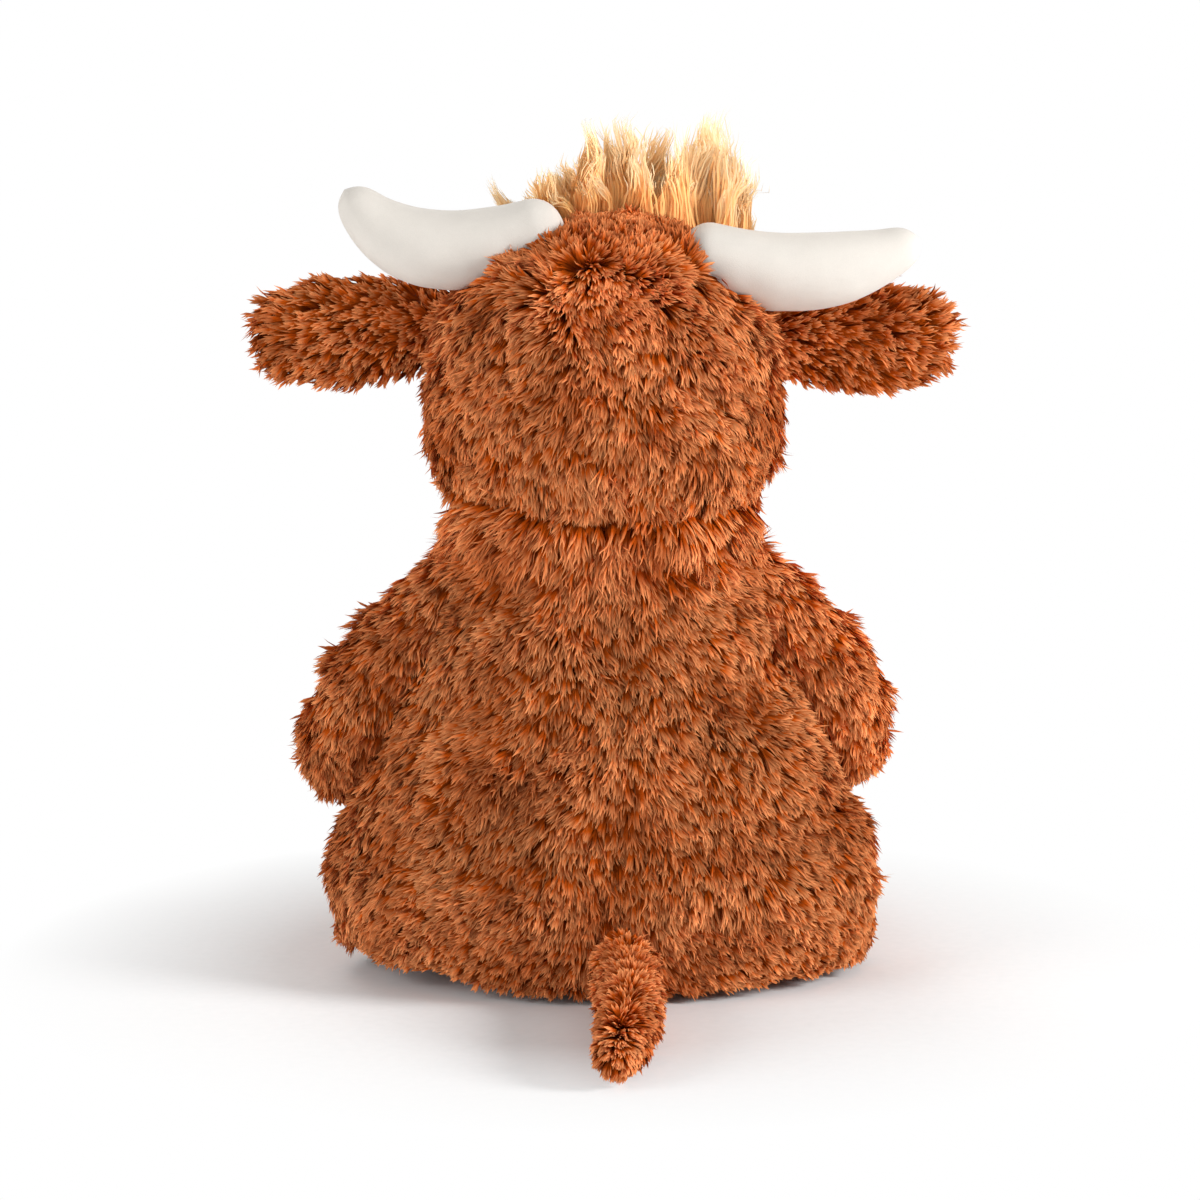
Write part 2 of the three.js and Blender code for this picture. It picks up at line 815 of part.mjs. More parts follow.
function tail() {
  const root = new THREE.Vector3(tailSide, bodySetback + bodyDepth / 2 - tailSink, tailRadius - groundFlat);
  const outer = tailForm(smallAround, limbAlong);
  const inner = tailForm(liningAround, liningAlong);
  const body = moved(shifted(skirtedBody, swingGap), root.clone().negate());
  const neighbours = [body, floorSlab(root)];
  return groupAt(root, [
    piece('tail_cover', cut(outer, [shifted(inner, -furThickness / 2), ...neighbours]), rustFur),
    piece('tail_filling', cut(shifted(inner, -furThickness / 2 - seamGap), neighbours), stuffing),
  ]);
}

const cow = new THREE.Group();
cow.add(...bodyPieces(), groupAt(headCentre, headPieces()), tail());
for (const side of sides) {
  cow.add(arm(side), leg(side));
}

export default cow;
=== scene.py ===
"""Looks of a seated plush cow, seen from behind: shaggy fur on sewn cloth skins, a blond topknot, velvet
horns, muzzle and hooves, and embroidered features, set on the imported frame. Lengths are in metres."""

import math

import bpy
import numpy as np
from bpy.props import FloatProperty, FloatVectorProperty, IntProperty, PointerProperty
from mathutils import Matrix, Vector, noise


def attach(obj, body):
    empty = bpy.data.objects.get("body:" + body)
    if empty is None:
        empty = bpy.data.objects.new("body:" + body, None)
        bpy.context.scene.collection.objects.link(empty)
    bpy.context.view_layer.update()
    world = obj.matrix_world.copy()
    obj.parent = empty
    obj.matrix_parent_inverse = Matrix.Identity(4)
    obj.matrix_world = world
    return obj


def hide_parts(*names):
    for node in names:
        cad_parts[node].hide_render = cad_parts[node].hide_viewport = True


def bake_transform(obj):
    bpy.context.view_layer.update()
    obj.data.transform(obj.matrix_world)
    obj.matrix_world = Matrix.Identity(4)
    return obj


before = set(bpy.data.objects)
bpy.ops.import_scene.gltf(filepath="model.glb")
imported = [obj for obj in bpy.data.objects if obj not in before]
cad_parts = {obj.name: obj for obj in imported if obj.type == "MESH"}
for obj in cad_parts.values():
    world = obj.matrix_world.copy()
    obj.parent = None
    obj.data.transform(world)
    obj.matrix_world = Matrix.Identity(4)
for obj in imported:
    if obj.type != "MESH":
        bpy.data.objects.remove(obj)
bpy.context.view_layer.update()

bl_info = {
    "name": "Plush cow",
    "version": (1, 0, 0),
    "blender": (4, 5, 0),
    "location": "3D View > Sidebar > Plush cow",
    "description": "Builds the fur, velvet and stitching of a seated plush cow on its packed frame",
    "category": "Object",
}

MM = 0.001
NOISE_SEED = 1
SIDES = (("left", 1), ("right", -1))

# Body sections from seat to crown: share of the height, half width, half depth, in millimetres
BODY_MIDDLE = 6.0
BODY_HEIGHT = 192.0
BACK_SEAM = -2.5
SWELL_DEPTH = 5.0
SWELL_LENGTH = 58.0
BODY_SECTIONS = (
    (0.0, 94.5, 64.2),
    (0.06, 101.9, 70.1),
    (0.18, 105.0, 73.0),
    (0.3, 101.9, 71.9),
    (0.43, 92.9, 67.9),
    (0.56, 80.5, 62.8),
    (0.69, 70.4, 58.0),
    (0.82, 60.9, 52.6),
    (0.92, 56.7, 49.6),
    (1.0, 48.3, 42.3),
)

# Head ball, with a taller crown. The muzzle and the topknot are placed from its middle
HEAD = np.array((0.0, -2.0, 212.0))
HEAD_RADIUS = 68.0
HEAD_CROWN = 74.0
MUZZLE_OFFSET = np.array((0.0, -60.0, -11.0))
MUZZLE_HALF = np.array((41.0, 31.0, 27.0))
TOPKNOT_MIDDLE = np.array((-9.0, -22.0))

# Horn root, bend and tip from the head's middle, for +X on the left and mirrored on the right
HORN_PLACES = {
    "left": ((25.84, 9.52, 61.88), (70.84, 9.52, 47.93), (89.74, 5.92, 71.78)),
    "right": ((38.08, 9.52, 53.04), (76.78, 9.52, 42.24), (108.28, 5.92, 57.09)),
}
HORN_SECTIONS = ((0.0, 13.5), (0.35, 14.6), (0.6, 14.2), (0.8, 12.2), (1.0, 8.5))

# Ears: height on the head and drop of the tip
EAR_PLACES = {"left": (26.52, 2.8), "right": (23.12, 1.4)}
EAR_LENGTH = 70.0
EAR_SECTIONS = ((0.0, 18.7, 8.8), (0.3, 23.4, 10.4), (0.6, 26.0, 11.0), (0.85, 25.5, 11.0), (1.0, 22.4, 9.5))

# Arms from the shoulder, legs from the hip, tail from its root
SHOULDER = np.array((46.0, 6.0, 149.0))
ARM_PLACES = {
    "left": (
        (0, 0, 0),
        (21.6, -2.4, -20.4),
        (38.4, -7.2, -45.6),
        (47.4, -16.8, -67.2),
        (45.6, -37.2, -74.4),
        (44.4, -52.8, -70.8),
    ),
    "right": (
        (0, 0, 0),
        (21.6, -2.4, -20.4),
        (37.2, -8.4, -43.2),
        (40.2, -20.4, -61.2),
        (40.2, -39.6, -68.4),
        (40.2, -55.2, -66.0),
    ),
}
ARM_SECTIONS = ((0.0, 18.8), (0.25, 20.7), (0.5, 23.5), (0.75, 23.0), (1.0, 21.2))
HIP = np.array((50.0, -32.0, 28.5))
LEG_PLACES = ((0, 0, 0), (5, -50, 0), (10, -100, -2.9))
LEG_SECTIONS = ((0.0, 29.0), (0.4, 29.0), (0.75, 27.3), (1.0, 26.1))
TAIL_ROOT = np.array((-8.0, 63.0, 14.3))
TAIL_PLACES = ((0, 0, 7.0), (0, 31.8, 0.3), (-1.1, 63.6, 0), (1.1, 90.1, -1.2), (3.2, 106.0, -2.7))
TAIL_SECTIONS = ((0.0, 14.8), (0.3, 15.1), (0.6, 14.8), (0.85, 13.6), (1.0, 12.1))

# Lights and what they and the camera point at, in metres: name, place and size
LOOK_AT = Vector((0, 0, 0.16))
LIGHTS = (
    ("key", (-1.9, 0.62, 0.95), 0.8),
    ("fill", (1.4, 0.9, 0.7), 1.2),
    ("front", (0.5, -1.5, 1.2), 1.2),
)


# Settings

def length_of(name, text, value, low):
    return FloatProperty(name=name, description=text, default=value, min=low, unit="LENGTH")


def amount_of(name, text, value, **limits):
    return FloatProperty(name=name, description=text, default=value, **limits)


def colour_of(name, text, value):
    return FloatVectorProperty(name=name, description=text, default=value, subtype="COLOR")


class FurSettings(bpy.types.PropertyGroup):
    pile_length: length_of("Pile length", "Length of the longest fibres of the fur", 0.0142, 0.002)
    pile_inset: length_of("Cloth depth", "How far the cloth lies below the tips of the pile", 0.0068, 0.001)
    blade_width: length_of("Fibre width", "Width of one bundle of fibres at its root", 0.0011, 0.0001)
    density: amount_of("Density", "Bundles of fibres on a square metre of cloth", 1700000.0, min=1000.0)
    lean: amount_of("Lean", "How far the pile leans from upright", math.radians(56), subtype="ANGLE")
    tuft_size: length_of("Tuft spacing", "Distance between the middles of neighbouring tufts", 0.0018, 0.0005)
    tuft_pull: amount_of("Tuft pull", "How far the tips of a tuft draw together", 0.82, min=0.0, max=1.0)
    ruffle: amount_of("Ruffle", "How much neighbouring tufts point different ways", 0.15, min=0.0)
    root_colour: colour_of("Root colour", "Fur colour at the cloth", (0.10, 0.008, 0.0004))
    middle_colour: colour_of("Middle colour", "Fur colour half way up", (0.45, 0.070, 0.0035))
    tip_colour: colour_of("Tip colour", "Fur colour at the tips", (0.80, 0.31, 0.118))
    seed: IntProperty(name="Seed", description="Fixed seed of the fur's irregularity", default=7)


class HairSettings(bpy.types.PropertyGroup):
    length: length_of("Hair length", "Length of the longest topknot hairs", 0.0505, 0.005)
    width: length_of("Hair width", "Width of one strand at its root", 0.00052, 0.0001)
    density: amount_of("Hair density", "Strands on a square metre of the crown", 3400000.0, min=1000.0)
    lock_size: length_of("Lock spacing", "Distance between the middles of neighbouring locks", 0.0068, 0.001)
    root_colour: colour_of("Hair root colour", "Topknot colour at the crown", (1.0, 0.56, 0.20))
    tip_colour: colour_of("Hair tip colour", "Topknot colour at the tips", (1.0, 0.83, 0.54))


class TrimSettings(bpy.types.PropertyGroup):
    horn_colour: colour_of("Horn colour", "Velvet of the horns", (0.77, 0.725, 0.665))
    muzzle_colour: colour_of("Muzzle colour", "Velvet of the muzzle and ear linings", (0.70, 0.46, 0.27))
    hoof_colour: colour_of("Hoof colour", "Velvet of the hooves", (0.105, 0.045, 0.022))
    thread_colour: colour_of("Thread colour", "Embroidery of the nostrils and mouth", (0.035, 0.014, 0.008))
    thread_width: length_of("Thread width", "Width of one embroidery stitch", 0.0009, 0.0002)
    eye_colour: colour_of("Eye colour", "Plastic of the eyes", (0.012, 0.007, 0.005))
    seam_depth: length_of("Seam depth", "How deep the sewn seams pull in", 0.0009, 0.0)


class StageSettings(bpy.types.PropertyGroup):
    camera_distance: length_of("Camera distance", "Distance from the camera to the cow", 1.5, 0.5)
    camera_height: amount_of("Camera height angle", "Camera's angle above the level", math.radians(9), subtype="ANGLE")
    frame_width: length_of("Frame width", "Width that the picture covers at the cow", 0.4461, 0.1)
    key_power: amount_of("Key light", "Power of the soft main light", 46.0, min=0.0, unit="POWER")
    fill_power: amount_of("Fill light", "Power of the soft side light", 15.0, min=0.0, unit="POWER")
    front_power: amount_of("Front light", "Power of the soft light on the face", 9.0, min=0.0, unit="POWER")
    sky: amount_of("Surround", "Strength of the even light from all round", 0.38, min=0.0)


# Node trees

def shown(sockets, key):
    """The enabled socket with that name, or the one at that place among the enabled ones."""
    enabled = [socket for socket in sockets if socket.enabled]
    if isinstance(key, int):
        return enabled[key]
    return next(socket for socket in enabled if socket.name == key)


class Tree:
    """Adds nodes to one tree, shader or geometry, and joins them by socket names."""

    def __init__(self, tree):
        self.tree = tree

    def add(self, kind, values=None, **settings):
        made = self.tree.nodes.new(kind)
        for name, value in settings.items():
            setattr(made, name, value)
        for key, value in (values or {}).items():
            self.set(shown(made.inputs, key), value)
        return made

    def set(self, socket, value):
        if isinstance(value, bpy.types.Node):
            value = shown(value.outputs, 0)
        if isinstance(value, bpy.types.NodeSocket):
            self.tree.links.new(value, socket)
        else:
            socket.default_value = value

    def out(self, kind, key=0, values=None, **settings):
        return shown(self.add(kind, values, **settings).outputs, key)

    def math(self, operation, *values):
        return self.out("ShaderNodeMath", 0, dict(enumerate(values)), operation=operation)

    def times(self, first, *others):
        for other in others:
            first = self.math("MULTIPLY", first, other)
        return first

    def plus(self, first, second):
        return self.math("ADD", first, second)

    def raised(self, value, power):
        return self.math("POWER", value, power)

    def vector(self, operation, first, second=None, scale=None):
        values = {0: first}
        if second is not None:
            values[1] = second
        if scale is not None:
            values["Scale"] = scale
        return self.out("ShaderNodeVectorMath", 0, values, operation=operation)

    def scaled(self, vector, scale):
        return self.vector("SCALE", vector, scale=scale)

    def joined(self, x, y, z):
        return self.out("ShaderNodeCombineXYZ", 0, {"X": x, "Y": y, "Z": z})

    def mix(self, share, first, second):
        values = {"Factor": share, "A": first, "B": second}
        return self.out("ShaderNodeMix", "Result", values, data_type="RGBA")

    def noise(self, vector, scale, detail=2.0, roughness=0.5, key=0):
        values = {"Vector": vector, "Scale": scale, "Detail": detail, "Roughness": roughness}
        return self.out("ShaderNodeTexNoise", key, values)

    def ramp(self, share, stops):
        made = self.add("ShaderNodeValToRGB", {"Fac": share})
        ramp = made.color_ramp
        while len(ramp.elements) < len(stops):
            ramp.elements.new(1.0)
        for element, (place, colour) in zip(ramp.elements, stops):
            element.position = place
            element.color = (*colour, 1.0)
        return made.outputs["Color"]

    def bump(self, strength, distance, height):
        return self.add("ShaderNodeBump", {"Strength": strength, "Distance": distance, "Height": height})

    def seen(self):
        """1 for what the camera sees, straight or by gloss or glass, and 0 for the light on other things."""
        rays = self.add("ShaderNodeLightPath").outputs
        indirect = self.math("MAXIMUM", rays["Is Glossy Ray"], rays["Is Transmission Ray"])
        return self.math("MAXIMUM", rays["Is Camera Ray"], indirect)


# Materials

def new_material(name, **shader):
    """A material with its shader's constants set, its tree, its shader node and Object coordinates."""
    material = bpy.data.materials.new(name)
    material.use_nodes = True
    tree = Tree(material.node_tree)
    bsdf = material.node_tree.nodes["Principled BSDF"]
    for key, value in shader.items():
        bsdf.inputs[key.replace("_", " ")].default_value = value
    place = tree.out("ShaderNodeTexCoord", "Object")
    return material, tree, bsdf, place


def attribute(tree, name):
    return tree.add("ShaderNodeAttribute", attribute_name=name, attribute_type="GEOMETRY").outputs["Fac"]


def rgba(colour, share=1.0):
    """A colour for a socket, darker or paler by a share."""
    return (*[share * part for part in colour], 1.0)


def strand_material(name, stops, patch_colour, patch_share, roughness, specular, contrast=0.9):
    """Fibres that run from a dark root to a pale tip, with each bundle, tuft and patch a little different."""
    patch_scale, patch_start, patch_end = 42.0, 0.42, 0.72
    tone_spread, tone_drop = 0.55, 0.31
    tuft_spread, tuft_drop = 0.47, 0.22
    streak_shares, streaks_apart = (3.2, 1.1, 1.0), 60.0
    palest, roughness_spread = 1.4, 0.15

    material, tree, bsdf, place = new_material(name, Specular_IOR_Level=specular)
    height, bundle, tuft = (attribute(tree, key) for key in ("height", "tone", "tuft"))
    along = tree.ramp(height, stops)
    noise_value = tree.noise(place, patch_scale, 3.0)
    patch = tree.add("ShaderNodeMapRange", {"Value": noise_value, "From Min": patch_start, "From Max": patch_end})
    patched = tree.mix(tree.times(patch, patch_share), along, rgba(patch_colour))
    tone = tree.math("MULTIPLY_ADD", bundle, tone_spread * contrast, 1.0 - tone_drop * contrast)
    tuft_tone = tree.math("MULTIPLY_ADD", tuft, tuft_spread * contrast, 1.0 - tuft_drop * contrast)
    streak_place = tree.joined(attribute(tree, "across"), height, tree.times(bundle, streaks_apart))
    streaks = tree.noise(tree.vector("MULTIPLY", streak_place, streak_shares), 1.0, 1.0)
    streak_tone = tree.math("MULTIPLY_ADD", streaks, contrast, 1.0 - 0.5 * contrast)
    # The shade attribute is painted light and shade: it makes a piece's fibres paler or darker
    level = tree.math("MINIMUM", tree.times(tone, tuft_tone, streak_tone, attribute(tree, "shade")), palest)
    tree.set(bsdf.inputs["Base Color"], tree.add("ShaderNodeHueSaturation", {"Value": level, "Color": patched}))
    tree.set(bsdf.inputs["Roughness"], tree.plus(tree.times(bundle, roughness_spread), roughness))
    return material


def rust_fur_material(fur):
    # The dark root and the shadow stop above it are painted shade deep in the pile
    shadow = [0.38 * part for part in fur.middle_colour]
    stops = [(0.0, fur.root_colour), (0.33, shadow), (0.63, fur.middle_colour), (0.94, fur.tip_colour)]
    # Darker patches spread at random over the fur
    darker_patch = (0.34, 0.052, 0.004)
    return strand_material("rust_pile", stops, darker_patch, patch_share=0.65, roughness=0.6, specular=0.02)


def blond_hair_material(hair):
    middle = [0.5 * (root + tip) for root, tip in zip(hair.root_colour, hair.tip_colour)]
    stops = [(0.0, hair.root_colour), (0.5, hair.root_colour), (0.75, middle), (0.97, hair.tip_colour)]
    golden = (1.0, 0.60, 0.26)
    return strand_material(
        "blond_hair", stops, golden, patch_share=0.35, roughness=0.5, specular=0.12, contrast=0.25
    )


def knit_backing_material(fur):
    """The knitted cloth under the fur, dark between the roots."""
    material, tree, bsdf, place = new_material("knit_backing", Roughness=0.95)
    loops = tree.out("ShaderNodeTexVoronoi", "Distance", {"Vector": place, "Scale": 900.0})
    colour = tree.mix(loops, rgba(fur.root_colour, 0.8), rgba(fur.middle_colour, 0.45))
    tree.set(bsdf.inputs["Base Color"], colour)
    tree.set(bsdf.inputs["Normal"], tree.bump(0.5, 0.0004, loops))
    return material


def velvet_material(name, colour, shade, nap=2600.0):
    """Short-pile velvet: a fine nap, a soft bloom, and slow shifts of tone where the pile was brushed."""
    brush_scale, colour_shares, height_shares = 34.0, (0.7, 0.35), (0.6, 0.5)
    material, tree, bsdf, place = new_material(
        name, Roughness=0.85, Sheen_Weight=0.12, Sheen_Roughness=0.4, Specular_IOR_Level=0.2
    )
    brushed = tree.noise(place, brush_scale, 4.0, 0.6)
    fine = tree.noise(place, nap, 2.0, 0.7)
    share = tree.plus(tree.times(brushed, colour_shares[0]), tree.times(fine, colour_shares[1]))
    stops = [(0.3, [part * shade for part in colour]), (0.72, colour)]
    tree.set(bsdf.inputs["Base Color"], tree.ramp(share, stops))
    height = tree.plus(tree.times(fine, height_shares[1]), tree.times(brushed, height_shares[0]))
    tree.set(bsdf.inputs["Normal"], tree.bump(0.35, 0.0006, height))
    return material


def tan_velvet(trim):
    return material_named("tan_nap", velvet_material, "tan_nap", trim.muzzle_colour, 0.55, 1500.0)


def thread_material(colour):
    """Satin thread, twisted and slightly glossy."""
    material, tree, bsdf, place = new_material(
        "satin_thread", Roughness=0.38, Sheen_Weight=0.3, Specular_IOR_Level=0.55
    )
    twist = tree.out("ShaderNodeTexWave", "Fac", {"Vector": place, "Scale": 900.0, "Distortion": 3.0})
    tree.set(bsdf.inputs["Base Color"], tree.mix(twist, rgba(colour), rgba(colour, 2.2)))
    tree.set(bsdf.inputs["Normal"], tree.bump(0.4, 0.0002, twist))
    return material


def eye_material(colour):
    """Polished dark plastic with a warmer brown depth and faint handling marks."""
    material, tree, bsdf, place = new_material("polished_eye", IOR=1.48)
    depth = tree.noise(place, 160.0, 3.0)
    tree.set(bsdf.inputs["Base Color"], tree.mix(depth, rgba(colour), rgba(colour, 3.0)))
    marks = tree.noise(place, 1400.0, 4.0)
    tree.set(bsdf.inputs["Roughness"], tree.math("MULTIPLY_ADD", marks, 0.12, 0.04))
    return material


def washer_material():
    """Moulded plastic with a faint grain."""
    material, tree, bsdf, place = new_material("moulded_washer", Specular_IOR_Level=0.4)
    grain = tree.noise(place, 700.0, 4.0)
    tree.set(bsdf.inputs["Base Color"], tree.ramp(grain, [(0.3, (0.68, 0.68, 0.66)), (0.7, (0.78, 0.78, 0.77))]))
    tree.set(bsdf.inputs["Roughness"], tree.plus(tree.times(grain, 0.2), 0.4))
    return material


def stuffing_material():
    """Loose white polyester fibre."""
    material, tree, bsdf, place = new_material("stuffing_fibre", Roughness=0.95, Sheen_Weight=0.3)
    fibres = tree.noise(place, 380.0, 6.0, 0.75)
    stops = [(0.35, (0.66, 0.65, 0.62)), (0.65, (0.88, 0.87, 0.85))]
    tree.set(bsdf.inputs["Base Color"], tree.ramp(fibres, stops))
    tree.set(bsdf.inputs["Normal"], tree.bump(0.8, 0.002, fibres))
    return material


def pouch_material():
    """Plain woven cloth, pushed out by the pellets behind it."""
    threads, pellet_scale = 520.0, 260.0
    material, tree, bsdf, place = new_material("pellet_pouch_cloth", Roughness=0.9)
    across, along = (
        tree.out("ShaderNodeTexWave", "Fac", {"Vector": place, "Scale": threads}, bands_direction=axis)
        for axis in "XZ"
    )
    pellets = tree.out("ShaderNodeTexVoronoi", "Distance", {"Vector": place, "Scale": pellet_scale})
    weave = tree.times(across, along)
    stops = [(0.0, (0.62, 0.60, 0.55)), (0.8, (0.80, 0.78, 0.73))]
    tree.set(bsdf.inputs["Base Color"], tree.ramp(weave, stops))
    tree.set(bsdf.inputs["Normal"], tree.bump(0.6, 0.0015, tree.plus(tree.times(weave, 0.2), pellets)))
    return material


# Forms

def unit(vectors):
    return vectors / np.maximum(np.linalg.norm(vectors, axis=-1, keepdims=True), 1e-12)


def columns(*parts):
    """A table of the parts side by side, each an array or one number."""
    return np.stack(np.broadcast_arrays(*parts), axis=1)


def turns(count):
    """Angles at even steps once round."""
    return np.arange(count) / count * 2 * math.pi


def evenly(line, count):
    """A line cut anew into even steps."""
    reach = np.concatenate(([0.0], np.cumsum(np.linalg.norm(np.diff(line, axis=0), axis=1))))
    places = np.linspace(0.0, reach[-1], count)
    return columns(*(np.interp(places, reach, part) for part in line.T))


def smooth_line(points, count, steps=40):
    """A smooth line through the points, cut into even steps."""
    points = np.asarray(points, float)
    run = np.vstack((2 * points[0] - points[1], points, 2 * points[-1] - points[-2]))
    share = np.linspace(0.0, 1.0, steps, endpoint=False)[:, None]
    lines = []
    for start in range(len(points) - 1):
        before, here, there, after = run[start : start + 4]
        gaps = [np.linalg.norm(b - a) ** 0.5 for a, b in ((before, here), (here, there), (there, after))]
        leave = (here - before) / gaps[0] - (there - before) / (gaps[0] + gaps[1]) + (there - here) / gaps[1]
        reach = (there - here) / gaps[1] - (after - here) / (gaps[1] + gaps[2]) + (after - there) / gaps[2]
        lines.append(
            (2 * share**3 - 3 * share**2 + 1) * here
            + (share**3 - 2 * share**2 + share) * leave * gaps[1]
            + (3 * share**2 - 2 * share**3) * there
            + (share**3 - share**2) * reach * gaps[1]
        )
    return evenly(np.vstack([*lines, points[-1:]]), count)


def bent_line(points, count):
    """A single even bend from the first point to the last, drawn towards the middle one."""
    first, middle, last = (np.asarray(point, float) for point in points)
    share = np.linspace(0.0, 1.0, 200)[:, None]
    return evenly((1 - share) ** 2 * first + 2 * share * (1 - share) * middle + share**2 * last, count)


def sizes_along(sections, count, inset=0.0):
    """Half sizes at even steps, as a smooth curve through the sections."""
    table = np.asarray([(row[0], row[1], row[-1]) for row in sections], float)
    share = np.linspace(0.0, 1.0, count)
    halves = []
    for column in (1, 2):
        slopes = np.gradient(table[:, column], table[:, 0])
        index = np.clip(np.searchsorted(table[:, 0], share, side="right") - 1, 0, len(table) - 2)
        start, end = table[index], table[index + 1]
        span = end[:, 0] - start[:, 0]
        part = (share - start[:, 0]) / span
        halves.append(
            (2 * part**3 - 3 * part**2 + 1) * start[:, column]
            + (part**3 - 2 * part**2 + part) * span * slopes[index]
            + (3 * part**2 - 2 * part**3) * end[:, column]
            + (part**3 - part**2) * span * slopes[index + 1]
        )
    return columns(*halves) - inset


def loft(line, sizes, upright, around, start_depth, end_depth, cap_rings=5):
    """A closed tube along a line with rounded ends: its vertices and its faces."""
    tangent = unit(np.gradient(line, axis=0))
    side = unit(np.cross(tangent, upright))
    top = np.cross(side, tangent)
    angle = turns(around)
    rings = []

    def add_ring(index, shift, scale):
        across = np.cos(angle)[:, None] * side[index] * sizes[index, 0]
        up = np.sin(angle)[:, None] * top[index] * sizes[index, 1]
        rings.append(line[index] + tangent[index] * shift + (across + up) * scale)

    rises = [(step / (cap_rings + 1)) * math.pi / 2 for step in range(1, cap_rings + 1)]
    for rise in reversed(rises):
        add_ring(0, -start_depth * math.sin(rise), math.cos(rise))
    for index in range(len(line)):
        add_ring(index, 0.0, 1.0)
    for rise in rises:
        add_ring(-1, end_depth * math.sin(rise), math.cos(rise))
    poles = [line[0] - tangent[0] * start_depth, line[-1] + tangent[-1] * end_depth]
    return closed(rings, *poles)


def eased_end(vertices, around, rows=26, rounds=16):
    """A lofted tube whose last rows are evened out, so that no edge shows at its end."""
    rings = vertices[:-2].reshape(-1, around, 3)
    end = np.tile(vertices[-1], (1, around, 1))
    for _ in range(rounds):
        line = np.concatenate((rings, end))
        rings[-rows:] = 0.25 * line[-rows - 2 : -2] + 0.5 * line[-rows - 1 : -1] + 0.25 * line[-rows:]
    return np.vstack((rings.reshape(-1, 3), vertices[-2:]))


def closed(rings, start_pole, end_pole):
    """A closed form through rings of vertices, from one pole to the other."""
    around = len(rings[0])
    vertices = np.vstack([*rings, start_pole, end_pole])
    first_pole = len(rings) * around
    last = first_pole - around
    faces = []
    for step in range(around):
        following = (step + 1) % around
        faces.append((first_pole, step, following))
        for ring in range(len(rings) - 1):
            here, there = ring * around, (ring + 1) * around
            faces.append((here + step, there + step, there + following, here + following))
        faces.append((first_pole + 1, last + following, last + step))
    return vertices, faces


def ball(centre, radii, axis, upright, around, rings, far_radius=None):
    """A ball with its poles on an axis. Radii are across, along upright and along the axis."""
    turn = np.linspace(0.0, math.pi, rings + 2)[1:-1]
    height = -np.cos(turn) * radii[2]
    if far_radius is not None:
        height = np.where(height > 0, height * far_radius / radii[2], height)
    axis = np.asarray(axis, float)
    line = np.asarray(centre, float) + height[:, None] * axis
    side = unit(np.cross(axis, upright))
    top = np.cross(side, axis)
    angle = turns(around)
    level = np.cos(angle)[:, None] * side * radii[0] + np.sin(angle)[:, None] * top * radii[1]
    made = [middle + math.sin(part) * level for middle, part in zip(line, turn)]
    far = far_radius if far_radius is not None else radii[2]
    return closed(made, np.asarray(centre) - axis * radii[2], np.asarray(centre) + axis * far)


# Meshes

def add_mesh(name, vertices, faces, material, scale=MM):
    """A smooth-shaded mesh with its place in its vertices. Vertices are in millimetres."""
    mesh = bpy.data.meshes.new(name)
    mesh.from_pydata((np.asarray(vertices) * scale).tolist(), [], faces)
    mesh.shade_smooth()
    mesh.materials.append(material)
    made = bpy.data.objects.new(name, mesh)
    bpy.context.scene.collection.objects.link(made)
    return made


def read(mesh):
    """Places in millimetres and normals of a mesh's vertices."""
    places = np.empty(len(mesh.vertices) * 3)
    mesh.vertices.foreach_get("co", places)
    normals = np.empty(len(mesh.vertices) * 3, np.float32)
    mesh.vertex_normals.foreach_get("vector", normals)
    return places.reshape(-1, 3) / MM, normals.reshape(-1, 3).astype(float)


def shift(piece, distance):
    """Moves a mesh's surface along its normals by a distance for each vertex, in millimetres."""
    places, normals = read(piece.data)
    moved = (places + normals * np.asarray(distance)[:, None]) * MM
    piece.data.vertices.foreach_set("co", moved.ravel())
    piece.data.update()


def lumps(places, spacing, height, seed):
    """Slow unevenness of stuffed cloth."""
    offset = Vector((seed, 2.0 * seed, 3.0 * seed))
    return np.array([height * noise.noise(Vector(place) / spacing + offset) for place in places])


def wander(places, spacing, seed):
    """Slow changes of direction from place to place. Unseeded, noise_vector would follow the clock."""
    noise.seed_set(NOISE_SEED)
    offset = Vector((seed, 5.0 * seed, 9.0 * seed))
    return np.array([noise.noise_vector(Vector(place) / spacing + offset) for place in places])


def uneven(piece, spacing, height, seed):
    """Gives a piece the slow unevenness of its stuffing, and returns its new places and normals."""
    shift(piece, lumps(read(piece.data)[0], spacing, height, seed))
    return read(piece.data)


def write(mesh, name, kind, values, domain="POINT"):
    made = mesh.attributes.new(name, kind, domain)
    key = "vector" if kind == "FLOAT_VECTOR" else "value"
    made.data.foreach_set(key, np.asarray(values).ravel())


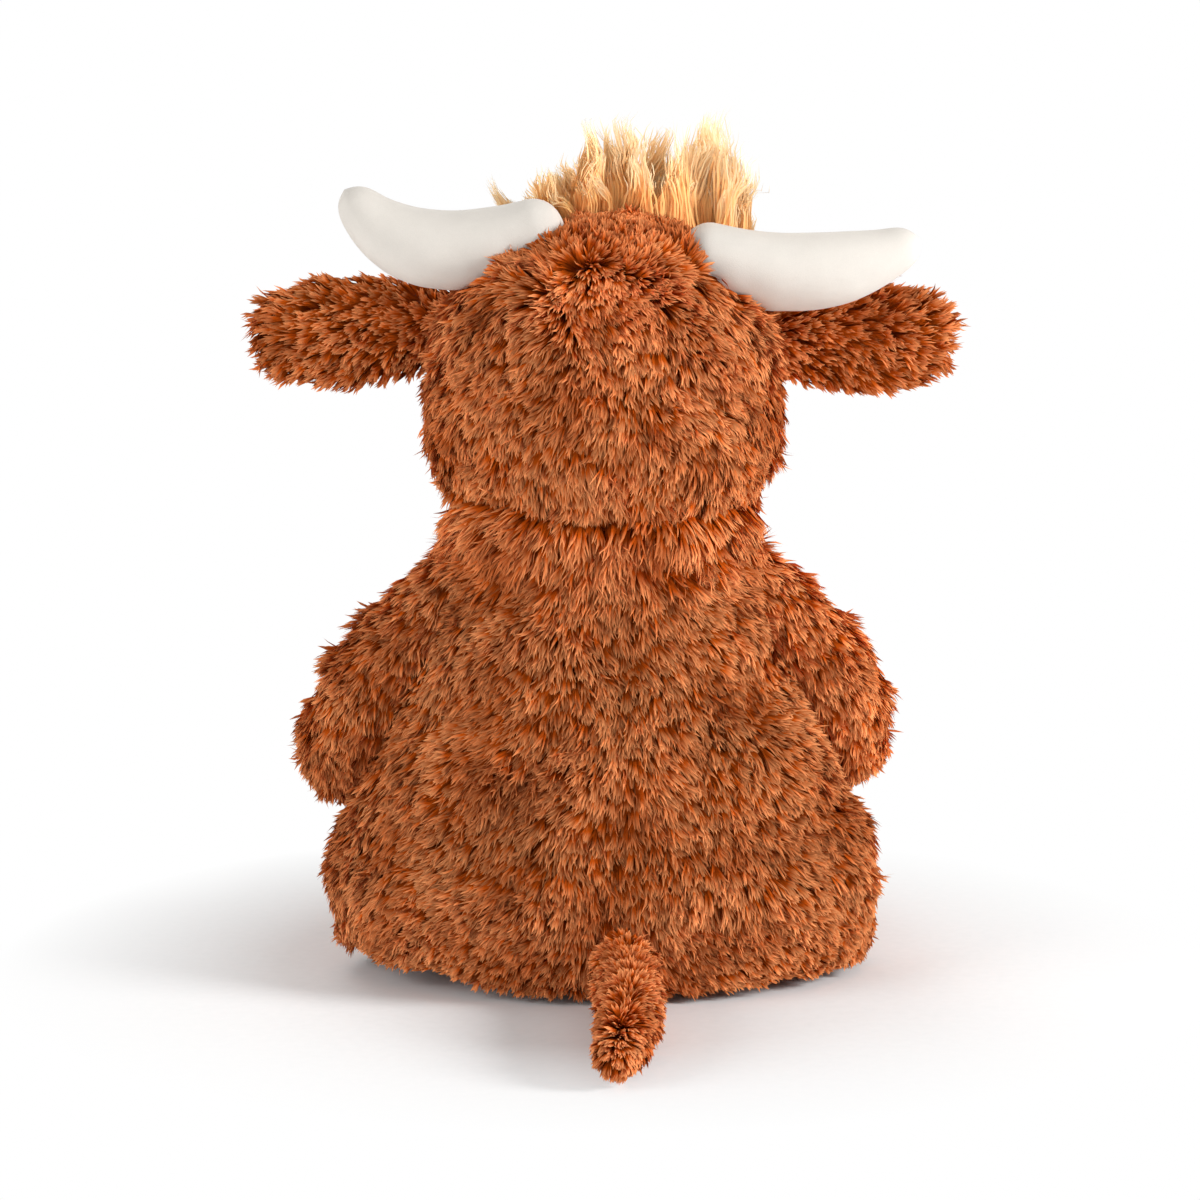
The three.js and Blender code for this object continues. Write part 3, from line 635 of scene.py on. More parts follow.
def dress(
    piece, comb, pile, cover, *,
    wander_size, wander_share, seed, shade=1.0, fall=(0, 0, 0), panel=None, upright=False,
):
    """Writes on the cloth how its pile grows.

    The comb is the way that it lies, or grows where upright, and it wanders from that by a share over a
    distance. Pile is its length, cover its density, shade a painted light and shade that makes it paler or
    darker, fall how far its tips sink in millimetres, and panel gives each face the number of its part of the pile.
    """
    fine_share, fine_size = 0.4, 0.4
    strength_share, strength_size, strength_spread = 0.9, 0.7, 0.8
    least_rise, least_length = 0.3, 0.6
    upright_facing = (0.9, -1.6, 0.0)

    mesh = piece.data
    places, normals = read(mesh)
    comb = np.asarray(comb, float) + wander_share * wander(places, wander_size, seed)
    comb = comb + fine_share * wander_share * wander(places, fine_size * wander_size, seed + 7.0)
    rise = np.sum(comb * normals, axis=1)[:, None]
    if upright:
        comb = comb / np.maximum(rise, least_rise) - normals
    else:
        comb -= normals * rise
        length = np.linalg.norm(comb, axis=1, keepdims=True)
        strength = strength_share + lumps(places, strength_size * wander_size, strength_spread, seed + 15.0)
        comb = comb / np.maximum(length, least_length) * strength[:, None]
    every, each = np.ones(len(places)), np.ones((len(places), 3))
    write(mesh, "comb", "FLOAT_VECTOR", comb)
    write(mesh, "facing", "FLOAT_VECTOR", each * (upright_facing if upright else (0.0, 0.0, 0.0)))
    write(mesh, "pile", "FLOAT", every * pile)
    write(mesh, "cover", "FLOAT", every * cover)
    # shade: painted light and shade, a factor on the fibres' colour
    write(mesh, "shade", "FLOAT", every * shade)
    write(mesh, "fall", "FLOAT_VECTOR", each * fall * MM)
    middles = np.array([face.center for face in mesh.polygons]) / MM
    panels = np.zeros(len(middles), np.int32) if panel is None else panel(middles).astype(np.int32)
    write(mesh, "panel", "INT", panels, "FACE")


# Pile and stitches

PILE_INPUTS = {
    "Float": (
        "Density", "Length", "Width", "Lean", "Curl", "Tuft Size", "Tuft Pull", "Gather", "Point", "Ruffle",
        "Shortest", "Stray", "Frizz", "Wave",
    ),
    "Int": ("Segments", "Panel", "Seed"),
    "Material": ("Material",),
}
STITCH_INPUTS = {
    "Float": ("Spacing", "Length", "Width"),
    "Vector": ("Middle", "Flatness"),
    "Int": ("Seed",),
    "Material": ("Material",),
}


def new_geometry_tree(name, inputs):
    group = bpy.data.node_groups.new(name, "GeometryNodeTree")
    group.interface.new_socket("Geometry", in_out="INPUT", socket_type="NodeSocketGeometry")
    for kind, labels in inputs.items():
        for label in labels:
            group.interface.new_socket(label, in_out="INPUT", socket_type=f"NodeSocket{kind}")
    group.interface.new_socket("Geometry", in_out="OUTPUT", socket_type="NodeSocketGeometry")
    tree = Tree(group)
    return group, tree, tree.add("NodeGroupInput").outputs


def build_pile_tree():
    """Fibres on combed cloth: each leans along the comb, curls over, and draws towards its tuft's middle."""
    tufts_in_a_square, tuft_radius_share = 1.2, 0.75
    pull_draws, longest_tuft = (0.75, 1.1), 1.08
    facing_spread, uneven_share = 0.55, 0.6
    point_power, row_power, taper_power, curl_power, fall_power = 2.0, 1.5, 6.0, 2.0, 1.8
    frizz_scale, wave_scale = 170.0, 85.0
    floor_gap, merge_gap = 0.0004, 0.000001
    group, tree, given = new_geometry_tree("Pile", PILE_INPUTS)

    def named(name, kind="FLOAT"):
        return tree.out("GeometryNodeInputNamedAttribute", "Attribute", {"Name": name}, data_type=kind)

    def random(seed, low, high, kind):
        values = {"Min": low, "Max": high, "Seed": seed}
        return tree.out("FunctionNodeRandomValue", 0, values, data_type=kind)

    def random_vector(seed, spread):
        return random(seed, (-spread,) * 3, (spread,) * 3, "FLOAT_VECTOR")

    def random_share(seed, low=0.0, high=1.0):
        return random(seed, low, high, "FLOAT")

    def seed_after(step):
        return tree.plus(given["Seed"], float(step))

    def sum_of(first, second):
        return tree.vector("ADD", first, second)

    def store(geometry, name, value, kind="FLOAT"):
        values = {"Geometry": geometry, "Name": name, "Value": value}
        return tree.out("GeometryNodeStoreNamedAttribute", 0, values, data_type=kind, domain="POINT")

    # Tuft middles, spread evenly over the cloth
    cloth = given["Geometry"]
    tuft_density = tree.math("DIVIDE", tufts_in_a_square, tree.times(given["Tuft Size"], given["Tuft Size"]))
    tufts = tree.add(
        "GeometryNodeDistributePointsOnFaces",
        {"Mesh": cloth, "Distance Min": given["Tuft Size"], "Density Max": tuft_density, "Seed": seed_after(1)},
        distribute_method="POISSON",
    ).outputs["Points"]

    # Roots of the fibres, with what each takes from its tuft
    spread = tree.add(
        "GeometryNodeDistributePointsOnFaces",
        {"Mesh": cloth, "Density": tree.times(given["Density"], named("cover")), "Seed": given["Seed"]},
        distribute_method="RANDOM",
    )
    roots, normal = spread.outputs["Points"], spread.outputs["Normal"]
    place = tree.out("GeometryNodeInputPosition")
    nearest = tree.out("GeometryNodeSampleNearest", 0, {"Geometry": tufts}, domain="POINT")

    def of_tuft(value, kind):
        values = {"Geometry": tufts, "Value": value, "Index": nearest}
        return tree.out("GeometryNodeSampleIndex", 0, values, data_type=kind, domain="POINT")

    draw = tree.vector("SUBTRACT", of_tuft(place, "FLOAT_VECTOR"), place)
    outer = tree.out("ShaderNodeVectorMath", "Value", {0: draw}, operation="LENGTH")
    outer = tree.math("DIVIDE", outer, tree.times(given["Tuft Size"], tuft_radius_share))
    outer = tree.math("MINIMUM", outer, 1.0)
    draw = tree.scaled(draw, tree.times(given["Tuft Pull"], random_share(seed_after(2), *pull_draws)))
    ruffle = tree.scaled(of_tuft(random_vector(seed_after(3), 1.0), "FLOAT_VECTOR"), given["Ruffle"])
    tuft_tone = of_tuft(random_share(seed_after(4)), "FLOAT")
    tuft_length = of_tuft(random_share(seed_after(5), given["Shortest"], longest_tuft), "FLOAT")

    stray = tree.scaled(random_vector(seed_after(6), 1.0), given["Stray"])
    combed = tree.scaled(named("comb", "FLOAT_VECTOR"), tree.math("TANGENT", given["Lean"]))
    growth = tree.vector("NORMALIZE", sum_of(sum_of(normal, combed), sum_of(ruffle, stray)))
    facing = sum_of(normal, named("facing", "FLOAT_VECTOR"))
    facing = sum_of(facing, random_vector(seed_after(7), facing_spread))
    axes = {"Primary Axis": growth, "Secondary Axis": facing}
    turn = tree.out("FunctionNodeAxesToRotation", 0, axes, primary_axis="Z", secondary_axis="Y")
    length = tree.times(given["Length"], named("pile"))
    evenness = tree.math("MULTIPLY_ADD", given["Shortest"], uneven_share, 1 - uneven_share)
    length = tree.times(length, tree.times(tuft_length, random_share(seed_after(8), evenness, 1.0)))
    shorter = tree.times(tree.raised(outer, point_power), given["Point"])
    length = tree.times(length, tree.math("SUBTRACT", 1.0, shorter))

    held = store(roots, "draw", draw, "FLOAT_VECTOR")
    held = store(held, "tone", random_share(seed_after(9)))
    held = store(held, "tuft", tuft_tone)

    # One fibre: a strip that narrows to a point
    grid = {"Size X": 1.0, "Size Y": 1.0, "Vertices X": 2, "Vertices Y": tree.plus(given["Segments"], 1.0)}
    strip = tree.out("GeometryNodeMeshGrid", "Mesh", grid)
    apart = tree.add("ShaderNodeSeparateXYZ", {"Vector": place})
    height = tree.math("SUBTRACT", 1.0, tree.raised(tree.math("SUBTRACT", 0.5, apart.outputs["Y"]), row_power))
    taper = tree.math("SUBTRACT", 1.0, tree.raised(height, taper_power))
    across = tree.times(apart.outputs["X"], taper, given["Width"])
    back = tree.times(tree.raised(height, curl_power), given["Curl"], -1.0)
    strip = store(store(strip, "height", height), "across", apart.outputs["X"])
    values = {"Geometry": strip, "Position": tree.joined(across, back, height)}
    strip = tree.out("GeometryNodeSetPosition", 0, values)
    strip = tree.out("GeometryNodeMergeByDistance", 0, {"Geometry": strip, "Distance": merge_gap})

    panels = {0: named("panel", "INT"), 1: given["Panel"]}
    values = {
        "Points": held,
        "Selection": tree.out("FunctionNodeCompare", 0, panels, data_type="INT", operation="EQUAL"),
        "Instance": strip,
        "Rotation": turn,
        "Scale": tree.joined(1.0, length, length),
    }
    placed = tree.out("GeometryNodeInstanceOnPoints", 0, values)
    made = tree.out("GeometryNodeRealizeInstances", 0, {"Geometry": placed})

    # Tips draw together, fall with their weight, and stop at the floor
    up = named("height")

    def swayed(scale, detail, reach):
        way = tree.out("ShaderNodeTexNoise", 1, {"Vector": place, "Scale": scale, "Detail": detail})
        return tree.scaled(tree.vector("SUBTRACT", way, (0.5, 0.5, 0.5)), tree.times(up, reach))

    gathered = tree.scaled(named("draw", "FLOAT_VECTOR"), tree.raised(up, given["Gather"]))
    fallen = tree.scaled(named("fall", "FLOAT_VECTOR"), tree.raised(up, fall_power))
    swaying = sum_of(swayed(frizz_scale, 1.0, given["Frizz"]), swayed(wave_scale, 0.0, given["Wave"]))
    target = sum_of(sum_of(place, gathered), sum_of(fallen, swaying))
    apart = tree.add("ShaderNodeSeparateXYZ", {"Vector": target})
    above = tree.math("MAXIMUM", apart.outputs["Z"], floor_gap)
    target = tree.joined(apart.outputs["X"], apart.outputs["Y"], above)
    made = tree.out("GeometryNodeSetPosition", 0, {"Geometry": made, "Position": target})
    for name in ("draw", "fall", "comb", "facing", "pile", "cover"):
        made = tree.out("GeometryNodeRemoveAttribute", 0, {"Geometry": made, "Name": name})
    made = tree.out("GeometryNodeSetShadeSmooth", 0, {"Geometry": made})
    made = tree.out("GeometryNodeSetMaterial", 0, {"Geometry": made, "Material": given["Material"]})
    tree.add("NodeGroupOutput", {"Geometry": made})
    return group


def build_stitch_tree():
    """Satin stitches side by side across a line on a rounded form, longer where the line's radius is large."""
    group, tree, given = new_geometry_tree("Satin stitches", STITCH_INPUTS)
    along = {"Curve": given["Geometry"], "Length": given["Spacing"]}
    points = tree.add("GeometryNodeCurveToPoints", along, mode="LENGTH")
    outward = tree.vector("SUBTRACT", tree.out("GeometryNodeInputPosition"), given["Middle"])
    outward = tree.vector("MULTIPLY", outward, given["Flatness"])
    turn = {"Rotation": points.outputs["Rotation"], "Vector": outward}
    jitter = {"Min": 0.9, "Max": 1.05, "Seed": given["Seed"]}
    jitter = tree.out("FunctionNodeRandomValue", 0, jitter, data_type="FLOAT")
    length = tree.times(given["Length"], tree.out("GeometryNodeInputRadius"), jitter)
    values = {
        "Points": points.outputs["Points"],
        "Instance": tree.out("GeometryNodeMeshIcoSphere", "Mesh", {"Radius": 0.5, "Subdivisions": 2}),
        "Rotation": tree.out("FunctionNodeAlignRotationToVector", 0, turn, axis="Y", pivot_axis="Z"),
        "Scale": tree.joined(length, given["Width"], given["Width"]),
    }
    placed = tree.out("GeometryNodeInstanceOnPoints", 0, values)
    made = tree.out("GeometryNodeRealizeInstances", 0, {"Geometry": placed})
    made = tree.out("GeometryNodeSetShadeSmooth", 0, {"Geometry": made})
    made = tree.out("GeometryNodeSetMaterial", 0, {"Geometry": made, "Material": given["Material"]})
    tree.add("NodeGroupOutput", {"Geometry": made})
    return group


def tree_named(name, build):
    return bpy.data.node_groups.get(name) or build()


def material_named(name, build, *settings):
    return bpy.data.materials.get(name) or build(*settings)


def grown(source, name, group, values):
    """The plain mesh that a node tree makes of an object, as a new piece."""
    modifier = source.modifiers.new(group.name, "NODES")
    modifier.node_group = group
    for item in group.interface.items_tree:
        if item.item_type == "SOCKET" and item.in_out == "INPUT" and item.name in values:
            modifier[item.identifier] = values[item.name]
    source.update_tag()
    graph = bpy.context.evaluated_depsgraph_get()
    final = source.evaluated_get(graph)
    mesh = bpy.data.meshes.new_from_object(final, preserve_all_data_layers=True, depsgraph=graph)
    source.modifiers.remove(modifier)
    mesh.name = name
    made = bpy.data.objects.new(name, mesh)
    bpy.context.scene.collection.objects.link(made)
    return made


def grow_fur(cloth, name, panel=0, **changes):
    """One part of a cloth's pile as a plain mesh, with the settings that differ from the fur's own."""
    fur = bpy.context.scene.cow_fur
    values = {
        "Density": fur.density,
        "Length": fur.pile_length,
        "Width": fur.blade_width,
        "Segments": 3,
        "Lean": fur.lean,
        "Curl": 0.32,
        "Tuft Size": fur.tuft_size,
        "Tuft Pull": fur.tuft_pull,
        "Gather": 0.5,
        "Point": 0.15,
        "Ruffle": fur.ruffle,
        "Shortest": 0.78,
        "Stray": 0.06,
        "Frizz": 0.004,
        "Wave": 0.0,
        "Panel": panel,
        "Seed": fur.seed,
        "Material": material_named("rust_pile", rust_fur_material, fur),
    }
    values.update(changes)
    made = grown(cloth, name, tree_named("Pile", build_pile_tree), values)
    return made


def sew(name, places, radii, spacing, length, seed, trim):
    """Satin stitches on the muzzle, across a line of places in metres, as one plain mesh."""
    curve = bpy.data.curves.new(name, "CURVE")
    curve.dimensions = "3D"
    spline = curve.splines.new("POLY")
    spline.points.add(len(places) - 1)
    for point, place, radius in zip(spline.points, places, radii):
        point.co = (*place, 1.0)
        point.radius = radius
    line = bpy.data.objects.new(name + "_line", curve)
    bpy.context.scene.collection.objects.link(line)
    values = {
        "Spacing": spacing,
        "Length": length,
        "Width": trim.thread_width,
        "Middle": tuple((HEAD + MUZZLE_OFFSET) * MM),
        "Flatness": tuple((MUZZLE_HALF.min() / MUZZLE_HALF) ** 2),
        "Seed": seed,
        "Material": material_named("satin_thread", thread_material, trim.thread_colour),
    }
    made = grown(line, name, tree_named("Satin stitches", build_stitch_tree), values)
    bpy.data.objects.remove(line)
    return made


# Where the forms lie, in millimetres

def body_half_sizes(height, inset):
    steps = 200
    sizes = sizes_along(BODY_SECTIONS, steps, inset)
    share = np.clip(height / BODY_HEIGHT, 0.0, 1.0) * (steps - 1)
    return [np.interp(share, np.arange(steps), half) for half in sizes.T]


def swells(places):
    """How far uneven stuffing lets the body's cover sink: nothing on a swell, the full depth between swells."""
    x, y, z = 2 * math.pi / SWELL_LENGTH * places.T
    wave = np.sin(x + 0.6 * z) + np.sin(0.9 * z - 0.7 * y + 1) + np.sin(0.5 * x + y - 0.4 * z + 2)
    tight = soft(places[:, 2], SWELL_LENGTH / 2, SWELL_LENGTH)
    tight *= 1 - soft(places[:, 2], BODY_HEIGHT - SWELL_LENGTH, BODY_HEIGHT - SWELL_LENGTH / 4)
    return SWELL_DEPTH * np.clip(0.5 + wave / 4, 0, 1) * tight


def outside_body(places, inset=0.0):
    """Rough distance of each place outside the body's form, negative inside it and far above its top."""
    margin, far = 4, 50.0
    wide, deep = body_half_sizes(places[:, 2], inset)
    reach = np.hypot(places[:, 0] / wide, (places[:, 1] - BODY_MIDDLE) / deep)
    return np.where(places[:, 2] > BODY_HEIGHT + margin, far, (reach - 1) * np.minimum(wide, deep))


def outside_head(places, inset=0.0):
    away = places - HEAD
    radius = HEAD_RADIUS - inset
    upper = np.where(away[:, 2] > 0, HEAD_CROWN, HEAD_RADIUS) - inset
    level = away[:, 0] ** 2 + away[:, 1] ** 2
    return (np.sqrt(level / radius**2 + (away[:, 2] / upper) ** 2) - 1) * radius


def outside_muzzle(places):
    away = (places - HEAD - MUZZLE_OFFSET) / MUZZLE_HALF
    return (np.linalg.norm(away, axis=1) - 1) * MUZZLE_HALF[2]


def mirrored(points, sign):
    return np.asarray(points, float) * (sign, 1, 1)


def horn_line(side, sign, count):
    return HEAD + mirrored(bent_line(HORN_PLACES[side], count), sign)


def arm_line(side, sign, count):
    return mirrored(SHOULDER, sign) + mirrored(smooth_line(ARM_PLACES[side], count), sign)


def leg_line(sign, count):
    return mirrored(HIP, sign) + mirrored(bent_line(LEG_PLACES, count), sign)


def tail_line(count):
    return TAIL_ROOT + smooth_line(TAIL_PLACES, count)


def outside_line(places, line, radius):
    return away_from(places, line).min(axis=1) - radius


def away_from(places, line):
    """Distance of each place from each place of a line."""
    return np.linalg.norm(places[:, None, :] - line[None, :, :], axis=2)


def out_of_face(side_angle, lift_angle):
    """The direction at angles in degrees from straight ahead, to the left and up."""
    side, rise = math.radians(side_angle), math.radians(lift_angle)
    return np.array((math.sin(side) * math.cos(rise), -math.cos(side) * math.cos(rise), math.sin(rise)))


def eye_place(sign):
    """Where an eye's base sits, sunk into the head, and the way that the eye looks."""
    side_angle, lift_angle, sunk = 29, 17, 4.0
    direction = out_of_face(side_angle * sign, lift_angle)
    level = math.hypot(direction[0], direction[1]) / HEAD_RADIUS
    reach = 1 / math.hypot(level, direction[2] / HEAD_CROWN)
    return HEAD + direction * (reach - sunk), direction


def soft(value, start, end):
    """0 before start, 1 after end, with an even rise between."""
    part = np.clip((value - start) / (end - start), 0.0, 1.0)
    return part * part * (3 - 2 * part)


def quarters(seam, middle):
    """Numbers faces by quarter: 0 front right, 1 front left, 2 back right and 3 back left."""
    return lambda places: (places[:, 0] > seam) + 2.0 * (places[:, 1] > middle)


def knit():
    return material_named("knit_backing", knit_backing_material, bpy.context.scene.cow_fur)


# Pieces

class COW_OT_body(bpy.types.Operator):
    """Body cloth and its shaggy pile, parted along the centre-back seam"""

    bl_idname = "cow.body"
    bl_label = "Body"

    def execute(self, context):
        inset = context.scene.cow_fur.pile_inset / MM
        rows, around, fine_rows, lowest = 72, 112, 400, 7.0
        seam_depth, seam_spread, low_depth, parting_width = 2.6, 50.0, 3.5, 42.0

        line = columns(np.zeros(rows), BODY_MIDDLE, np.linspace(lowest, BODY_HEIGHT - inset, rows))
        share = line[:, 2] / BODY_HEIGHT
        table = sizes_along(BODY_SECTIONS, fine_rows, inset)
        sizes = columns(*(np.interp(share, np.linspace(0, 1, fine_rows), half) for half in table.T))
        form = loft(line, sizes, (0, -1, 0), around, start_depth=3.2, end_depth=8.0)
        cloth = add_mesh("body_skin", *form, knit())
        places, _ = read(cloth.data)
        seam = np.exp(-((places[:, 0] - BACK_SEAM) ** 2) / seam_spread) * soft(places[:, 2], 10, 40)
        low = soft(-places[:, 2], -24.0, -8.0) * soft(places[:, 0], 15.0, 60.0)
        swelled = lumps(places, 24.0, 1.6, 3.0) - swells(places)
        shift(cloth, swelled - seam_depth * seam * (places[:, 1] > 0) - low_depth * low)
        places, normals = read(cloth.data)

        back = soft(places[:, 1], -20.0, 20.0)
        parting = np.tanh((places[:, 0] - BACK_SEAM) / parting_width) * (0.6 + 0.35 * back)
        under = soft(-normals[:, 2], 0.5, 0.9)
        outward = unit(columns(places[:, 0], places[:, 1] - BODY_MIDDLE, 0.0))
        comb = columns(parting, 0.0, -1.0) * (1 - under)[:, None] + outward * under[:, None]
        cover = soft(outside_head(places, inset), -2.0, 3.0)
        cover *= 1 - 0.75 * under
        length = 0.68 + 0.32 * soft(places[:, 2], 10, 46) + 0.3 * soft(places[:, 2], 142, 166)
        pile = (1 - 0.6 * under) * length
        for side, sign in SIDES:
            arm = arm_line(side, sign, 30)
            cover *= soft(outside_line(places, arm[:8], 12.0), -3.0, 1.0)
            pile *= 0.6 + 0.4 * soft(outside_line(places, arm[5:], 24.0), 0.0, 9.0)
            cover *= soft(outside_line(places, leg_line(sign, 20), 19.0), -3.0, 1.0)
        cover *= soft(outside_line(places, tail_line(20), 8.0), -2.0, 1.0)
        # Painted shade darkens the pile in the hollows between swells; painted light brightens it below the head,
        # where the head's shadow falls
        shade = 1.0 - 0.24 * swells(places) / SWELL_DEPTH + 0.2 * soft(places[:, 2], 144, 164)
        parts = quarters(BACK_SEAM, BODY_MIDDLE)
        dress(
            cloth, comb, pile, cover, shade=shade, panel=parts, wander_size=27.0, wander_share=0.85, seed=2.0
        )
        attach(cloth, "torso")
        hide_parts("body_cover")
        for panel, name in enumerate(("front_right", "front_left", "back_right", "back_left")):
            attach(grow_fur(cloth, f"body_pile_{name}", panel), "torso")
        return {"FINISHED"}


class COW_OT_head(bpy.types.Operator):
    """Head cloth and its pile, which spreads from a crown on the back of the head"""

    bl_idname = "cow.head"
    bl_label = "Head"

    def execute(self, context):
        inset = context.scene.cow_fur.pile_inset / MM
        radius, around, rings = HEAD_RADIUS - inset, 96, 56
        whorl_side, whorl_height, whorl_spread = -4.0, 50.0, 260.0
        topknot_reach, horn_radius = (46.0, 30.0), 12.5

        form = ball(HEAD, (radius, radius, radius), (0, 0, 1), (0, -1, 0), around, rings, HEAD_CROWN - inset)
        cloth = add_mesh("head_skin", *form, knit())
        places, normals = uneven(cloth, 30.0, 2.2, 8.0)
        away = places - HEAD
        side, back, up = away.T

        face = soft(-back, 34.0, 52.0)
        crown = soft(up + 12.0 * lumps(places, 14.0, 1.0, 21.0), 44.0, 58.0)
        down = columns(side * 0.016, 0.0, -1.0) + crown[:, None] * (0.0, -0.8, 1.9)
        from_muzzle = unit(away - MUZZLE_OFFSET * (1, 1, 0.4))
        comb = down * (1 - face)[:, None] + from_muzzle * face[:, None]
        whorl = np.exp(-((side - whorl_side) ** 2 + (up - whorl_height) ** 2) / whorl_spread) * (back > 0)
        nape = soft(-up, 22.0, 42.0) * soft(back, -20.0, 20.0)
        nape *= 0.6 + lumps(places, 18.0, 1.2, 22.0)
        wide, deep = ((away[:, :2] - TOPKNOT_MIDDLE) / topknot_reach).T
        hair = soft(1.1 - wide**2 - deep**2, 0.0, 0.3) * (up > 0)

        cover = soft(outside_muzzle(places), -4.0, 1.0) * soft(outside_body(places, inset), -20.0, -15.0)
        cover *= (1 - 0.88 * hair) * (1 + 0.9 * whorl)
        pile = (1 - 0.35 * face + 0.4 * nape) * (1 - 0.2 * soft(up, 50.0, 64.0))
        pile *= (1 - 0.72 * hair) * (1 - 0.3 * whorl)
        for name, sign in SIDES:
            cover *= soft(outside_line(places, horn_line(name, sign, 24), horn_radius), -3.0, 1.0)
            eye, _ = eye_place(sign)
            gap = np.linalg.norm(places - eye, axis=1)
            cover *= soft(gap, 8.0, 10.5)
            pile *= 0.45 + 0.55 * soft(gap, 9.0, 22.0)
        pile *= 0.5 + 0.5 * soft(outside_muzzle(places), 0.0, 12.0)
        # Painted light: the head's pile a little paler all over, and much paler at the whorl, where its dark roots
        # show in shade
        shade, parts = 1.05 + 0.55 * whorl, quarters(0, HEAD[1])
        dress(cloth, comb, pile, cover, shade=shade, panel=parts, wander_size=17.0, wander_share=0.8, seed=6.0)
        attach(cloth, "head")
        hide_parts("head_cover")
        for panel, name in enumerate(("face_right", "face_left", "back_right", "back_left")):
            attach(grow_fur(cloth, f"head_pile_{name}", panel), "head")
        return {"FINISHED"}


class COW_OT_topknot(bpy.types.Operator):
    """Blond topknot: locks that stand up behind the horns and fall over the forehead"""

    bl_idname = "cow.topknot"
    bl_label = "Topknot"
    half_width = 44.0
    half_depth = 29.0

    def execute(self, context):
        hair = context.scene.cow_hair
        material = material_named("blond_hair", blond_hair_material, hair)
        cap = self.add_cap(context.scene.cow_fur.pile_inset / MM, material)
        places, normals = read(cap.data)
        away = places - HEAD

        back = soft(away[:, 1], -44.0, -22.0)
        front = soft(-away[:, 1], 12.0, 52.0)
        side = (away[:, 0] - TOPKNOT_MIDDLE[0]) / self.half_width
        temple = soft(side + 0.4 * back, -0.66, -0.46)
        aim = columns(np.where(side < 0, 0.06, 0.2) * side, 0.12 * back - 0.5 * (1 - back), 1.0)
        pile = 0.92 - 0.42 * front - 0.42 * soft(side, 0.15, 0.95) * (1 - front)
        beside_fringe = np.exp(-((np.abs(away[:, 0]) - 32.0) / 9.0) ** 2)
        pile = pile * (1 + 0.42 * soft(-side, 0.1, 0.62) * back) * (1 - 0.3 * front * beside_fringe)
        fall = columns(side * 5.0, -3.0, -62.0 * pile * soft(front, 0.1, 0.7))
        cover = np.where(normals[:, 2] > 0.2, 1.0, 0.0)
        for name, sign in SIDES:
            cover *= soft(outside_line(places, horn_line(name, sign, 24), 17.0), -2.0, 1.0)
        cover *= soft(-away[:, 1], -3.0, 0.0) * (0.45 + 0.55 * temple)
        pile *= 0.55 + 0.45 * temple
        # The hair is painted paler (shade 1.12), painted light against the shade that the dense locks cast on one
        # another
        dress(
            cap, aim, pile, cover, fall=fall, shade=1.12, wander_size=20.0, wander_share=0.2, seed=11.0, upright=True
        )
        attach(cap, "head")
        locks = grow_fur(
            cap,
            "topknot_hair",
            Density=hair.density,
            Length=hair.length,
            Width=hair.width,
            Segments=6,
            Lean=math.radians(45),
            Curl=0.04,
            Gather=1.7,
            Point=0.42,
            Ruffle=0.2,
            Shortest=0.62,
            Stray=0.1,
            Frizz=0.006,
            Wave=0.012,
            Material=material,
            **{"Tuft Size": hair.lock_size, "Tuft Pull": 0.86},
        )
        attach(locks, "head")
        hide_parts("topknot")
        return {"FINISHED"}

    def add_cap(self, inset, material):
        """The thin cap on the crown that the hair grows from."""
        around, rings, thickness = 40, 14, (0, 0, 1.6)
        radius, crown = HEAD_RADIUS - inset, HEAD_CROWN - inset + 0.6

        def on_head(flat):
            upper = np.clip(1 - (flat**2).sum(axis=1) / radius**2, 0.02, 1)
            return np.column_stack((flat, crown * np.sqrt(upper)))

        across, deep = np.cos(turns(around)), np.sin(turns(around))
        shares = [ring / rings for ring in range(rings, 0, -1)]
        top = [
            on_head(TOPKNOT_MIDDLE + columns(self.half_width * share * across, -self.half_depth * share * deep))
            for share in shares
        ]
        pole = on_head(TOPKNOT_MIDDLE[None])[0]
        under = [ring - thickness for ring in reversed(top)]
        vertices, faces = closed([*under, *top], pole - thickness, pole)
        return add_mesh("topknot_cap", vertices + HEAD, faces, material)


class COW_OT_horns(bpy.types.Operator):
    """Stuffed velvet horns with a sewn seam underneath"""

    bl_idname = "cow.horns"
    bl_label = "Horns"

    def execute(self, context):
        rows, around, cap_rings, seam_spread = 64, 56, 9, 0.004
        trim = context.scene.cow_trim
        velvet = velvet_material("white_nap", trim.horn_colour, 0.86)
        for side, sign in SIDES:
            line = horn_line(side, sign, rows)
            sizes = sizes_along(HORN_SECTIONS, rows)
            vertices, faces = loft(line, sizes, (0, 1, 0), around, 12.0, 8.5, cap_rings)
            horn = add_mesh(f"horn_{side}", eased_end(vertices, around), faces, velvet)
            places, normals = read(horn.data)
            seam = trim.seam_depth / MM * np.exp(-(normals[:, 1] ** 2) / seam_spread) * (normals[:, 2] < 0)
            wrinkle = lumps(places, 9.0, 0.35, 4.0 + sign) * soft(outside_head(places), 18.0, 2.0)
            shift(horn, lumps(places, 22.0, 0.7, 5.0 + sign) + wrinkle - seam)
            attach(horn, "head")
            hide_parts(f"horn_cover_{side}")
        return {"FINISHED"}


